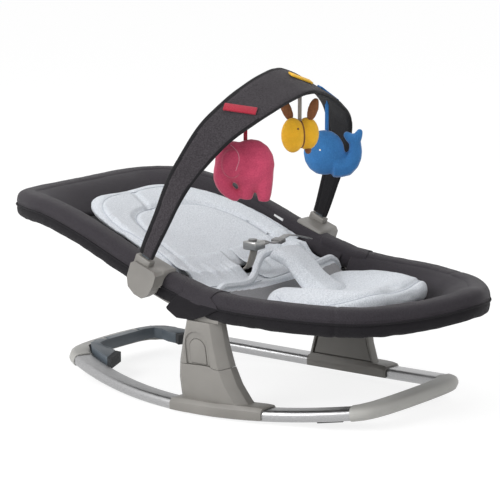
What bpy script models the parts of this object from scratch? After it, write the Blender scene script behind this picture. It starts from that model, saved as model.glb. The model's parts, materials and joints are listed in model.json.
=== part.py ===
# Baby bouncer: rocker base, side posts, reclining fabric seat, toy bar with three soft toys.
# Metres, +Z up. +X points to the foot end, +Y to the left side, and the origin lies on the floor
# under the middle of the runners.
import math

import bmesh
import bpy
from mathutils import Matrix, Vector

# Fits
SEAT_GAP = 0.0003          # between pieces that touch
RUN_GAP = 0.0006           # between pieces that slide or turn on each other
WELD = 0.00005             # points nearer than this are merged after a cut

# Rocker base
ROCK_RADIUS = 1.95         # side-view radius of the runners
REST_FLAT = 0.020          # half length of the flat under each runner
RUNNER_WIDTH = 0.035
RUNNER_HEIGHT = 0.018
TRACK_HALF = 0.186         # runner centre from the middle plane
RUNNER_BOW = 0.82          # how fast a runner bends inwards, 1/m
RUNNER_REAR_X = -0.285
RUNNER_FRONT_X = 0.262
REAR_BOW_X = -0.318        # centre line of the rear bow at the middle plane
FRONT_BOW_X = 0.288
BOW_WIDTH = 0.037
BOW_HEIGHT = 0.021
BOW_STEPS = 2
BOW_LEAD = 0.0035          # straight start of each bow at the runner
FOOT_LENGTH = 0.042
FOOT_WIDTH = 0.016
FOOT_HEIGHT = 0.004

# Side posts
POST_WALL = 0.0035
POST_SEAM_Z = 0.081
SADDLE_REAR_X = -0.034
SADDLE_FRONT_X = 0.134
SADDLE_LIP = 0.0035        # how far the saddle stands round the runner
PANEL_THICKNESS = 0.0025
PANEL_SETBACK = 0.0025
ARCH_POCKET_WIDTH = 0.046
ARCH_POCKET_TOP = 0.138
ARCH_POCKET_DEPTH = 0.0025
BUTTON_WIDTH = 0.031
BUTTON_TOP = 0.126
BUTTON_X = 0.027
BUTTON_TRAVEL = 0.004
BUTTON_DEPTH = 0.010

# Seat hinge
HINGE_X = 0.035
HINGE_Z = 0.183
HINGE_Y = 0.202            # middle of the hinge and of the side tubes
DISC_RADIUS = 0.0165
DISC_THICKNESS = 0.0085
PIN_RADIUS = 0.0045
SPIGOT_RADIUS = 0.0072
SPIGOT_LENGTH = 0.018
EAR_HALF = 0.0045
NECK_LENGTH = 0.052
NECK_WIDTH = 0.026
ARM_STATIONS = (-0.062, -0.045, -0.030, -0.012, 0.004, 0.0135)
ARM_DROP = 0.0215          # arm centre below the rim centre
ARM_WIDTH = 0.025
ARM_HEIGHT = 0.008

# Seat frame and padded rim
TUBE_RADIUS = 0.011
RIM_HALF_WIDTH = 0.020
RIM_HALF_HEIGHT = 0.0225
RIM_SIDES = 10
HEAD_X = -0.388            # tube centre at the head end
FOOT_X = 0.388             # tube centre at the foot end
HEAD_Z = 0.287
FOOT_Z = 0.192
BACK_RIM_END = 0.013       # rim ends from the hinge axis
LEG_RIM_END = 0.003
PATH_STEPS = 2
SLING_THICKNESS = 0.003
SLING_DROP = 0.006         # sling edge below the rim's centre
SLING_TUCK = 0.0025        # how far the sling reaches in under the rim's round side before it is cut
HIP_RADIUS = 0.0850        # drum about the hinge axis between backrest cloth and seat cloth
HIP_SIDE = 0.178
HIP_BOWL = ((-0.064, -0.014), (-0.047, 0.008), (-0.027, 0.026), (-0.003, 0.038), (0.020, 0.043))
BACK_LOBE_Y = 0.1805
BACK_SAG = ((-0.37, 0.010), (-0.34, 0.022), (-0.30, 0.028), (-0.25, 0.029), (-0.15, 0.028), (-0.08, 0.036), (-0.03, 0.048))
LEG_SAG = ((0.04, 0.040), (0.10, 0.038), (0.20, 0.028), (0.30, 0.018), (0.37, 0.004))
BACK_PAD = (
    # x, half width, edge height, middle height, thickness
    (-0.304, 0.044, 0.299, 0.289, 0.010),
    (-0.298, 0.074, 0.303, 0.287, 0.018),
    (-0.282, 0.106, 0.306, 0.280, 0.022),
    (-0.256, 0.138, 0.304, 0.274, 0.022),
    (-0.225, 0.160, 0.297, 0.268, 0.022),
    (-0.185, 0.173, 0.284, 0.260, 0.022),
    (-0.145, 0.179, 0.270, 0.247, 0.022),
    (-0.105, 0.183, 0.256, 0.229, 0.022),
    (-0.070, 0.186, 0.243, 0.210, 0.022),
    (-0.040, 0.188, 0.232, 0.194, 0.022),
    (-0.015, 0.188, 0.224, 0.184, 0.020),
    (0.002, 0.186, 0.219, 0.182, 0.016),
)
SEAT_PAD = (
    (-0.064, 0.174, 0.217, 0.207, 0.012),
    (-0.050, 0.174, 0.210, 0.197, 0.013),
    (-0.030, 0.174, 0.204, 0.184, 0.014),
    (-0.012, 0.175, 0.202, 0.177, 0.014),
    (0.006, 0.175, 0.202, 0.180, 0.016),
    (0.020, 0.175, 0.203, 0.187, 0.020),
    (0.032, 0.174, 0.200, 0.184, 0.018),
    (0.046, 0.172, 0.184, 0.164, 0.012),
    (0.066, 0.168, 0.172, 0.156, 0.010),
    (0.086, 0.166, 0.170, 0.154, 0.010),
    (0.100, 0.162, 0.168, 0.153, 0.008),
)
FOOT_CUSHION = (
    (0.062, 0.070, 0.186, 0.184, 0.014),
    (0.070, 0.108, 0.190, 0.190, 0.030),
    (0.092, 0.134, 0.193, 0.191, 0.046),
    (0.125, 0.144, 0.195, 0.191, 0.050),
    (0.160, 0.143, 0.199, 0.194, 0.052),
    (0.195, 0.140, 0.202, 0.197, 0.050),
    (0.228, 0.127, 0.203, 0.199, 0.048),
    (0.255, 0.105, 0.204, 0.201, 0.044),
    (0.272, 0.072, 0.203, 0.202, 0.034),
    (0.278, 0.045, 0.201, 0.200, 0.020),
)
CROTCH_PAD = (
    (0.022, 0.022, 0.226, 0.228, 0.016),
    (0.034, 0.034, 0.238, 0.243, 0.022),
    (0.052, 0.041, 0.238, 0.246, 0.022),
    (0.074, 0.044, 0.226, 0.234, 0.022),
    (0.098, 0.047, 0.205, 0.213, 0.021),
    (0.120, 0.050, 0.194, 0.200, 0.018),
    (0.141, 0.049, 0.192, 0.196, 0.014),
)

# Toy bar
BAR_LEAN = math.radians(23.1)   # forward lean of the bar's plane
BAR_BASE = Vector((-0.057, 0.0, 0.250))
BAR_RISE = 0.281                # along the leaning plane
BAR_WIDTH_TOP = 0.082
BAR_WIDTH_FOOT = 0.028
BAR_THICKNESS = 0.008
CORE_WIDTH = 0.015
CORE_THICKNESS = 0.003
CLIP_LENGTH = 0.054
CLIP_REACH = 0.011              # how far the clip reaches past the rim's middle
SOCKET_TOP = -0.0018            # end of the bar's sleeve and top of the socket, along the leaning plane
SOCKET_DEPTH = 0.0250
CLIP_X = -0.060
CLIP_WALL = 0.0038
CLIP_PLATE = 0.021
BAR_SHAPE = (
    # sideways offset and rise along the leaning plane, from the socket to the top
    (0.2325, SOCKET_TOP - SOCKET_DEPTH), (0.2325, SOCKET_TOP), (0.2310, 0.0200), (0.2250, 0.0610), (0.2160, 0.1220), (0.1920, 0.1710),
    (0.1620, 0.2090), (0.1150, 0.2400), (0.0620, 0.2650), (0.0200, 0.2780), (0.0000, 0.2800),
)
BAR_WIDENING = ((0.0, 0.0), (0.3, 0.15), (0.55, 0.38), (0.75, 0.68), (0.9, 0.92), (1.0, 1.0))
LOOP_WIDTH = 0.015
LOOP_THICKNESS = 0.003
TOY_LOOPS = (
    # name, sideways place, length, slant from straight across, finish
    ("toy_loop_red", -0.104, 0.052, 30.0, "pink_plush"),
    ("toy_loop_yellow", 0.020, 0.042, 62.0, "yellow_plush"),
    ("toy_loop_blue", 0.121, 0.042, 62.0, "blue_plush"),
)

# Rocking stop
STOP_THICKNESS = 0.018
STOP_AXIS_X = -0.3085
STOP_AXIS_Z = 0.0405
STOP_BAR_REAR = -0.3085
STOP_BAR_FRONT = -0.2955
STOP_PRONG_X = -0.292
STOP_PRONG_SLOPE = 0.14
STOP_ROOM = 0.0036         # free space round the stop in the bow, for its swing
STOP_TO_TRACK = 0.0645     # widest point of a prong from the runner's centre line
STOP_BARREL = 0.118
STOP_LUG_Y = 0.041
STOP_LUG_WIDTH = 0.008
STOP_PIN_RADIUS = 0.0026

# Harness
BUCKLE_CENTRE = Vector((-0.022, 0.0, 0.236))
BUCKLE_SIZE = Vector((0.026, 0.028, 0.014))
TONGUE_SIZE = Vector((0.020, 0.022, 0.003))
TONGUE_INSERT = 0.010
WAIST_STRAP = ((0, 0.0282, 0.0026), (0.001, 0.036, -0.001), (0.002, 0.048, -0.004), (0.003, 0.062, -0.002),
               (0.004, 0.085, 0.004), (0.004, 0.115, -0.002), (0.002, 0.150, -0.012))
CROTCH_ANCHOR = (-0.045, 0.0, 0.1905)
BUCKLE_BUTTON_RADIUS = 0.007
BUCKLE_BUTTON_HEIGHT = 0.004
STRAP_WIDTH = 0.020
STRAP_THICKNESS = 0.002

# Soft toys: their middles, straight below where their straps are sewn to the arch
ELEPHANT = (0.036, -0.100, 0.378)
BEE = (0.052, 0.022, 0.420)
WHALE = (0.037, 0.118, 0.376)
TOY_STRAP_WIDTH = 0.007
TOY_STRAP_THICKNESS = 0.002
TOY_STRAP_TIP = 0.0010     # width at the stitch that a strap swings from
TOY_STRAP_TAPER = 0.008
TOY_GAP = 0.0005           # stitch below the sleeve

COLOURS = {
    "aluminium": ((0.78, 0.78, 0.79), 0.32, 1.0),
    "bow_plastic": ((0.52, 0.51, 0.48), 0.45, 0.0),
    "post_plastic": ((0.38, 0.36, 0.33), 0.45, 0.0),
    "stop_plastic": ((0.08, 0.10, 0.12), 0.45, 0.0),
    "rubber": ((0.03, 0.03, 0.03), 0.8, 0.0),
    "steel": ((0.55, 0.55, 0.55), 0.3, 1.0),
    "dark_fabric": ((0.07, 0.06, 0.068), 0.9, 0.0),
    "liner_fabric": ((0.58, 0.62, 0.68), 0.95, 0.0),
    "buckle_plastic": ((0.45, 0.45, 0.44), 0.4, 0.0),
    "webbing": ((0.36, 0.34, 0.32), 0.9, 0.0),
    "pink_plush": ((0.48, 0.05, 0.11), 0.95, 0.0),
    "yellow_plush": ((0.86, 0.46, 0.03), 0.95, 0.0),
    "blue_plush": ((0.03, 0.16, 0.42), 0.95, 0.0),
    "brown_plush": ((0.22, 0.08, 0.03), 0.95, 0.0),
}

for existing in list(bpy.data.objects):
    bpy.data.objects.remove(existing, do_unlink=True)

partCollection = bpy.data.collections.new("baby_bouncer")
cutterCollection = bpy.data.collections.new("cutters")
bpy.context.scene.collection.children.link(partCollection)
bpy.context.scene.collection.children.link(cutterCollection)


# Helpers

def material(name):
    """The Principled material of one finish."""
    found = bpy.data.materials.get(name)
    if found:
        return found
    colour, roughness, metallic = COLOURS[name]
    made = bpy.data.materials.new(name)
    made.use_nodes = True
    shader = made.node_tree.nodes["Principled BSDF"]
    shader.inputs["Base Color"].default_value = (*colour, 1.0)
    shader.inputs["Roughness"].default_value = roughness
    shader.inputs["Metallic"].default_value = metallic
    made.diffuse_color = (*colour, 1.0)
    return made


def addObject(name, data, finish=None, cutter=False):
    """Link new data as a part, or as a cutter that the build leaves out."""
    obj = bpy.data.objects.new(name, data)
    if cutter:
        cutterCollection.objects.link(obj)
        obj.hide_render = True
        obj.display_type = "WIRE"
    else:
        partCollection.objects.link(obj)
        obj.data.materials.append(material(finish))
    return obj


def faceOut(bm):
    """Turn every face outwards, also on a form that folds round its own middle."""
    bmesh.ops.recalc_face_normals(bm, faces=bm.faces)
    if bm.calc_volume(signed=True) < 0:
        bmesh.ops.reverse_faces(bm, faces=bm.faces)


def meshObject(name, bm, finish=None, cutter=False):
    """Finish a bmesh: welded, faces out, smooth with sharp edges kept."""
    bmesh.ops.remove_doubles(bm, verts=bm.verts, dist=1e-6)
    faceOut(bm)
    mesh = bpy.data.meshes.new(name)
    bm.to_mesh(mesh)
    bm.free()
    mesh.shade_smooth()
    mesh.set_sharp_from_angle(angle=math.radians(35))
    return addObject(name, mesh, finish, cutter)


def meshFromCurve(curveObject, name, finish=None, cutter=False):
    """Turn a curve into a closed mesh with welded caps, and remove the curve."""
    graph = bpy.context.evaluated_depsgraph_get()
    mesh = bpy.data.meshes.new_from_object(curveObject.evaluated_get(graph))
    bm = bmesh.new()
    bm.from_mesh(mesh)
    bm.transform(curveObject.matrix_world)
    bpy.data.meshes.remove(mesh)
    bpy.data.objects.remove(curveObject, do_unlink=True)
    return meshObject(name, bm, finish, cutter)


def profileCurve(outline):
    """A closed flat outline that a sweep follows."""
    curve = bpy.data.curves.new("profile", "CURVE")
    spline = curve.splines.new("POLY")
    spline.points.add(len(outline) - 1)
    for point, (u, v) in zip(spline.points, outline):
        point.co = (u, v, 0.0, 1.0)
    spline.use_cyclic_u = True
    return addObject("profile", curve, cutter=True)


def sweep(name, path, outline, finish=None, cutter=False):
    """Sweep a closed outline (u across, v up) along a path, kept upright."""
    profile = profileCurve(outline)
    curve = bpy.data.curves.new(name, "CURVE")
    curve.dimensions = "3D"
    curve.twist_mode = "Z_UP"
    spline = curve.splines.new("POLY")
    spline.points.add(len(path) - 1)
    for point, place in zip(spline.points, path):
        point.co = (*place, 1.0)
    curve.bevel_mode = "OBJECT"
    curve.bevel_object = profile
    curve.use_fill_caps = True
    made = meshFromCurve(addObject(name, curve, cutter=True), name, finish, cutter)
    bpy.data.objects.remove(profile, do_unlink=True)
    return made


def tube(name, path, radius, finish=None, cutter=False, sides=1, radii=None):
    """A round tube along a path, with filled ends and an optional swelling."""
    curve = bpy.data.curves.new(name, "CURVE")
    curve.dimensions = "3D"
    curve.bevel_depth = radius
    curve.bevel_resolution = sides
    curve.use_fill_caps = True
    spline = curve.splines.new("POLY")
    spline.points.add(len(path) - 1)
    for index, (point, place) in enumerate(zip(spline.points, path)):
        point.co = (*place, 1.0)
        point.radius = radii[index] if radii else 1.0
    return meshFromCurve(addObject(name, curve, cutter=True), name, finish, cutter)


def extrusion(name, outline, thickness, place, finish=None, cutter=False):
    """Extrude a flat outline by its thickness about its own plane, then place it."""
    curve = bpy.data.curves.new(name, "CURVE")
    curve.dimensions = "2D"
    curve.fill_mode = "BOTH"
    curve.extrude = thickness / 2
    spline = curve.splines.new("POLY")
    spline.points.add(len(outline) - 1)
    for point, (u, v) in zip(spline.points, outline):
        point.co = (u, v, 0.0, 1.0)
    spline.use_cyclic_u = True
    flat = addObject(name, curve, cutter=True)
    flat.matrix_world = place
    bpy.context.view_layer.update()
    return meshFromCurve(flat, name, finish, cutter)


def loft(name, rings, finish=None, cutter=False):
    """Join unlike closed rings of points into one capped skin."""
    bm = bmesh.new()
    loops = [[bm.verts.new(point) for point in ring] for ring in rings]
    count = len(loops[0])
    for lower, upper in zip(loops, loops[1:]):
        for i in range(count):
            j = (i + 1) % count
            bm.faces.new((lower[i], lower[j], upper[j], upper[i]))
    bm.faces.new(reversed(loops[0]))
    bm.faces.new(loops[-1])
    return meshObject(name, bm, finish, cutter)


def box(name, size, place, finish=None, cutter=False, bevel=0.0):
    """A box primitive of a real size, with its long edges rounded where asked."""
    bm = bmesh.new()
    bmesh.ops.create_cube(bm, size=1.0)
    bmesh.ops.scale(bm, vec=size, verts=bm.verts)
    if bevel:
        bmesh.ops.bevel(bm, geom=bm.edges[:], offset=bevel, segments=2, profile=0.5, affect="EDGES")
    bm.transform(place)
    return meshObject(name, bm, finish, cutter)


def cylinder(name, radius, length, place, finish=None, cutter=False, segments=20):
    """A cylinder primitive along its local Z."""
    bm = bmesh.new()
    bmesh.ops.create_cone(bm, cap_ends=True, segments=segments, radius1=radius, radius2=radius, depth=length)
    bm.transform(place)
    return meshObject(name, bm, finish, cutter)


def ellipsoid(name, radii, place, finish=None, cutter=False, segments=16, rings=10):
    """A stuffed form: a sphere primitive drawn out to three radii."""
    bm = bmesh.new()
    bmesh.ops.create_uvsphere(bm, u_segments=segments, v_segments=rings, radius=1.0)
    bmesh.ops.scale(bm, vec=radii, verts=bm.verts)
    bm.transform(place)
    return meshObject(name, bm, finish, cutter)


def boolean(target, cutter, operation="DIFFERENCE", keepCutter=False):
    """Apply one exact Boolean and weld what it leaves."""
    modifier = target.modifiers.new(operation.lower(), "BOOLEAN")
    modifier.operation = operation
    modifier.solver = "EXACT"
    modifier.object = cutter
    graph = bpy.context.evaluated_depsgraph_get()
    mesh = bpy.data.meshes.new_from_object(target.evaluated_get(graph))
    target.modifiers.clear()
    bm = bmesh.new()
    bm.from_mesh(mesh)
    bpy.data.meshes.remove(mesh)
    bmesh.ops.remove_doubles(bm, verts=bm.verts, dist=WELD)
    bmesh.ops.dissolve_degenerate(bm, dist=WELD, edges=bm.edges)
    bm.to_mesh(target.data)
    bm.free()
    target.data.set_sharp_from_angle(angle=math.radians(35))
    if not keepCutter:
        bpy.data.objects.remove(cutter, do_unlink=True)
    return target


def largestBody(obj):
    """Drop the crumbs that a cut leaves beside the main body."""
    bm = bmesh.new()
    bm.from_mesh(obj.data)
    bm.verts.ensure_lookup_table()
    unseen = set(bm.verts)
    bodies = []
    while unseen:
        stack = [unseen.pop()]
        body = list(stack)
        while stack:
            for edge in stack.pop().link_edges:
                for vert in edge.verts:
                    if vert in unseen:
                        unseen.remove(vert)
                        stack.append(vert)
                        body.append(vert)
        bodies.append(body)
    bodies.sort(key=len)
    for body in bodies[:-1]:
        bmesh.ops.delete(bm, geom=body, context="VERTS")
    faceOut(bm)
    bm.to_mesh(obj.data)
    bm.free()
    return obj


def mirrored(source, name):
    """The left-hand copy of a right-hand piece."""
    bm = bmesh.new()
    bm.from_mesh(source.data)
    bm.transform(Matrix.Scale(-1, 4, Vector((0, 1, 0))))
    bmesh.ops.reverse_faces(bm, faces=bm.faces)
    mesh = bpy.data.meshes.new(name)
    bm.to_mesh(mesh)
    bm.free()
    mesh.shade_smooth()
    mesh.set_sharp_from_angle(angle=math.radians(35))
    return addObject(name, mesh, source.data.materials[0].name)


def setOrigin(obj, place):
    """Move a moving piece's origin onto its joint axis without moving the piece."""
    offset = Vector(place)
    obj.data.transform(Matrix.Translation(-offset))
    obj.location = offset


def roundedBox(width, height, radius, steps=3):
    """A rounded rectangle, clockwise."""
    outline = []
    corners = ((1, 1, 90), (1, -1, 0), (-1, -1, -90), (-1, 1, -180))
    for signU, signV, start in corners:
        for i in range(steps + 1):
            angle = math.radians(start - 90 * i / steps)
            u = signU * (width / 2 - radius) + radius * math.cos(angle)
            v = signV * (height / 2 - radius) + radius * math.sin(angle)
            outline.append((u, v))
    return outline


def superellipse(halfWidth, halfHeight, power=2.5, count=16):
    """A squarish oval, clockwise."""
    outline = []
    for i in range(count):
        angle = -math.tau * i / count
        c, s = math.cos(angle), math.sin(angle)
        u = halfWidth * math.copysign(abs(c) ** (2 / power), c)
        v = halfHeight * math.copysign(abs(s) ** (2 / power), s)
        outline.append((u, v))
    return outline


def smooth(points, steps):
    """A Catmull-Rom curve through the points, with a number of steps for each span."""
    points = [Vector(p) for p in points]
    ends = [2 * points[0] - points[1]] + points + [2 * points[-1] - points[-2]]
    path = []
    for a, b, c, d in zip(ends, ends[1:], ends[2:], ends[3:]):
        for i in range(steps):
            t = i / steps
            path.append(0.5 * (2 * b + (c - a) * t + (2 * a - 5 * b + 4 * c - d) * t * t
                               + (3 * b - a - 3 * c + d) * t ** 3))
    path.append(points[-1])
    return path


def interpolate(x, table):
    """Straight-line reading of a short table of (x, value) pairs."""
    if x <= table[0][0]:
        return table[0][1]
    for (x0, v0), (x1, v1) in zip(table, table[1:]):
        if x <= x1:
            return v0 + (v1 - v0) * (x - x0) / (x1 - x0)
    return table[-1][1]


def frameAt(place, along, up=Vector((0, 0, 1))):
    """A matrix whose local Z runs along a direction and whose Y is as upright as it can be."""
    z = Vector(along).normalized()
    x = up.cross(z).normalized()
    y = z.cross(x)
    matrix = Matrix((x, y, z)).transposed().to_4x4()
    matrix.translation = Vector(place)
    return matrix


def bothSides(name, build):
    """Build the right-hand piece and mirror it to the left."""
    right = build(name + "_right")
    return right, mirrored(right, name + "_left")


# Rocker base

def rockerZ(x):
    """Underside of the rocker above the floor."""
    return max(x * x - REST_FLAT ** 2, 0.0) / (2 * ROCK_RADIUS)


def runnerY(x):
    return TRACK_HALF - RUNNER_BOW * x * x


def basePoint(x, y):
    return Vector((x, y, rockerZ(x) + RUNNER_HEIGHT / 2))


def bowHalf(endX, bowX):
    """Half of a bow, from the runner's end to the middle plane."""
    reach = bowX - endX
    endY = runnerY(endX)
    shape = ((0.45, 0.93), (0.80, 0.74), (0.95, 0.44), (1.0, 0.0))
    return [Vector((endX + reach * a, endY * b, 0)) for a, b in shape]


def bowPath(endX, bowX):
    """The whole bow in plan, starting and ending inside the last span of each runner."""
    lead = 0.012 if bowX > endX else -0.012
    lastX = endX - lead
    half = [Vector((lastX, -runnerY(lastX), 0)), Vector((endX, -runnerY(endX), 0))]
    half += [Vector((p.x, -p.y, 0)) for p in bowHalf(endX, bowX)]
    other = [Vector((p.x, -p.y, 0)) for p in reversed(half[:-1])]
    full = smooth(half + other, BOW_STEPS)
    return full[BOW_STEPS:-BOW_STEPS]


def runnerPlan():
    """A runner's centre line in plan, rear to front, on the right side."""
    count = 18
    middle = [-REST_FLAT, REST_FLAT]
    rear = [RUNNER_REAR_X + (middle[0] - RUNNER_REAR_X) * i / count for i in range(count)]
    front = [middle[1] + (RUNNER_FRONT_X - middle[1]) * i / count for i in range(count + 1)]
    return [Vector((x, -runnerY(x), 0)) for x in rear[::2] + middle + front[2::2]]


def onRocker(plan):
    return [basePoint(p.x, p.y) for p in plan]


def buildBase():
    runnerOutline = roundedBox(RUNNER_WIDTH, RUNNER_HEIGHT, 0.0075, 2)
    bowOutline = roundedBox(BOW_WIDTH, BOW_HEIGHT, 0.0085, 2)
    plan = runnerPlan()
    runnerPath = onRocker(plan)

    def runner(name):
        return sweep(name, runnerPath, runnerOutline, "aluminium")

    bothSides("runner", runner)
    for name, endX, bowX in (("rear_bow", RUNNER_REAR_X, REAR_BOW_X), ("front_bow", RUNNER_FRONT_X, FRONT_BOW_X)):
        path = onRocker(bowPath(endX, bowX))
        end = runnerPath[0] if bowX < 0 else runnerPath[-1]
        before = runnerPath[1] if bowX < 0 else runnerPath[-2]
        step = (end - before).normalized()
        start = end + step * SEAT_GAP
        lead = end + step * BOW_LEAD
        far = [p for p in path if min((p - lead).length, (Vector((p.x, -p.y, p.z)) - lead).length) > 2 * BOW_LEAD]
        path = [start, lead] + [p for p in far if abs(p.y) < abs(lead.y)]
        path += [Vector((lead.x, -lead.y, lead.z)), Vector((start.x, -start.y, start.z))]
        sweep(name, path, bowOutline, "bow_plastic")


def buildFeet():
    """Rubber pads let into the underside of the runners near their ends."""
    for name, x in (("foot_rear", RUNNER_REAR_X + 0.030), ("foot_front", RUNNER_FRONT_X - 0.030)):
        slope = math.atan2(rockerZ(x + 0.01) - rockerZ(x - 0.01), 0.02)
        turn = math.atan2(-(runnerY(x + 0.01) - runnerY(x - 0.01)), 0.02)
        place = Matrix.Translation((x, -runnerY(x), rockerZ(x) - FOOT_HEIGHT / 2 + 0.0015))
        place = place @ Matrix.Rotation(turn, 4, "Z") @ Matrix.Rotation(-slope, 4, "Y")
        pad = Vector((FOOT_LENGTH, FOOT_WIDTH, FOOT_HEIGHT))
        clearance = Vector((SEAT_GAP, SEAT_GAP, SEAT_GAP)) * 2
        bothSides(name, lambda n: box(n, pad, place, "rubber", bevel=0.0012))
        for runnerName, mirror in (("runner_right", 1), ("runner_left", -1)):
            pocket = box("pocket", pad + clearance, place, cutter=True)
            if mirror < 0:
                pocket.data.transform(Matrix.Scale(-1, 4, Vector((0, 1, 0))))
                pocket.data.flip_normals()
            boolean(bpy.data.objects[runnerName], pocket)


# Side posts

POST_LEVELS = (
    # height, rear x, rear crease x, front ridge x, front x, outer y, inner y
    (0.0130, -0.027, -0.010, 0.098, 0.112, 0.191, 0.159),
    (0.0300, -0.026, -0.011, 0.086, 0.099, 0.197, 0.165),
    (0.0550, -0.024, -0.010, 0.073, 0.086, 0.204, 0.172),
    (0.0850, -0.018, -0.005, 0.064, 0.077, 0.210, 0.179),
    (0.1200, -0.008, 0.004, 0.059, 0.071, 0.215, 0.186),
    (0.1550, 0.003, 0.013, 0.055, 0.067, 0.219, 0.191),
)


def postRing(level, inset=0.0, open_=0.0, lift=0.0):
    """One six-sided ring of the post: narrow outer face, two slanted sides, wide inner face."""
    z, rear, crease, ridge, front, outer, inner = level
    rear += inset
    front -= inset
    outer -= inset
    inner -= open_
    slant = 0.4 * inset
    return [
        Vector((rear, -inner, z + lift)),
        Vector((front, -inner, z + lift)),
        Vector((front, -(outer - 0.016), z + lift)),
        Vector((ridge - slant, -outer, z + lift)),
        Vector((crease + slant, -outer, z + lift)),
        Vector((rear, -(outer - 0.012), z + lift)),
    ]


def levelAt(z):
    """The post's section read between two levels."""
    for lower, upper in zip(POST_LEVELS, POST_LEVELS[1:]):
        if z <= upper[0]:
            t = (z - lower[0]) / (upper[0] - lower[0])
            return tuple(a + (b - a) * t for a, b in zip(lower, upper))
    return POST_LEVELS[-1]


def archOutline(width, bottom, top, shear=0.0, count=8):
    """An arched door outline, in x and z, about its own middle."""
    radius = width / 2
    outline = [(-radius, bottom), (radius, bottom)]
    spring = top - radius
    for i in range(count + 1):
        angle = math.pi * i / count
        z = spring + radius * math.sin(angle)
        outline.append((radius * math.cos(angle) - shear * (z - bottom), z))
    return outline


def faceXZ(y):
    """Local X, Y, Z of an outline drawn in the side view at a distance y to the right."""
    matrix = Matrix(((1, 0, 0), (0, 0, -1), (0, 1, 0))).to_4x4()
    matrix.translation = Vector((0, -y, 0))
    return matrix


def seamOutline(lift):
    """Everything above the wavy seam between the two outer covers, in x and z."""
    wave = ((-0.10, 0.0), (-0.02, 0.0), (0.028, 0.0028), (0.046, 0.0030), (0.056, -0.0002), (0.068, -0.0008),
            (0.084, 0.0040), (0.20, 0.0040))
    line = [(x, POST_SEAM_Z + dz + lift) for x, dz in wave]
    return line + [(0.20, 0.30), (-0.10, 0.30)]


def postSolid(name, cutter=False):
    return loft(name, [postRing(level) for level in POST_LEVELS], "post_plastic", cutter)


def postHollow(name, inset, low, high, mouth=0.02):
    """The space inside the covers, open towards the middle of the bouncer."""
    heights = [low] + [level[0] for level in POST_LEVELS if low < level[0] < high] + [high]
    rings = [postRing(levelAt(z), inset, mouth) for z in heights]
    return loft(name, rings, cutter=True)


def saddle(name):
    """A cover that straddles the runner, thinning out at both ends."""
    path = []
    rings = []
    stations = ((0.0, 0.35), (0.06, 0.75), (0.16, 1.0), (0.5, 1.0), (0.84, 1.0), (0.94, 0.8), (1.0, 0.45))
    for t, share in stations:
        x = SADDLE_REAR_X + (SADDLE_FRONT_X - SADDLE_REAR_X) * t
        y = -runnerY(x)
        base = rockerZ(x) + 0.003
        half = RUNNER_WIDTH / 2 + SADDLE_LIP
        top = rockerZ(x) + RUNNER_HEIGHT + SADDLE_LIP * share * 1.3 + 0.0008
        rings.append([
            Vector((x, y - half * 0.995, base)),
            Vector((x, y + half * 0.995, base)),
            Vector((x, y + half, top - 0.006)),
            Vector((x, y + half - 0.005, top)),
            Vector((x, y - half + 0.005, top)),
            Vector((x, y - half, top - 0.006)),
        ])
    return loft(name, rings, "post_plastic")


def runnerCutter():
    """The runner grown by the seating gap, for the channel in the saddle."""
    plan = runnerPlan()
    outline = roundedBox(RUNNER_WIDTH + 2 * SEAT_GAP, RUNNER_HEIGHT + 2 * SEAT_GAP, 0.0075, 2)
    return sweep("runner_channel", onRocker(plan), outline, cutter=True)


def postTop():
    return POST_LEVELS[-1][0]


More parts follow.
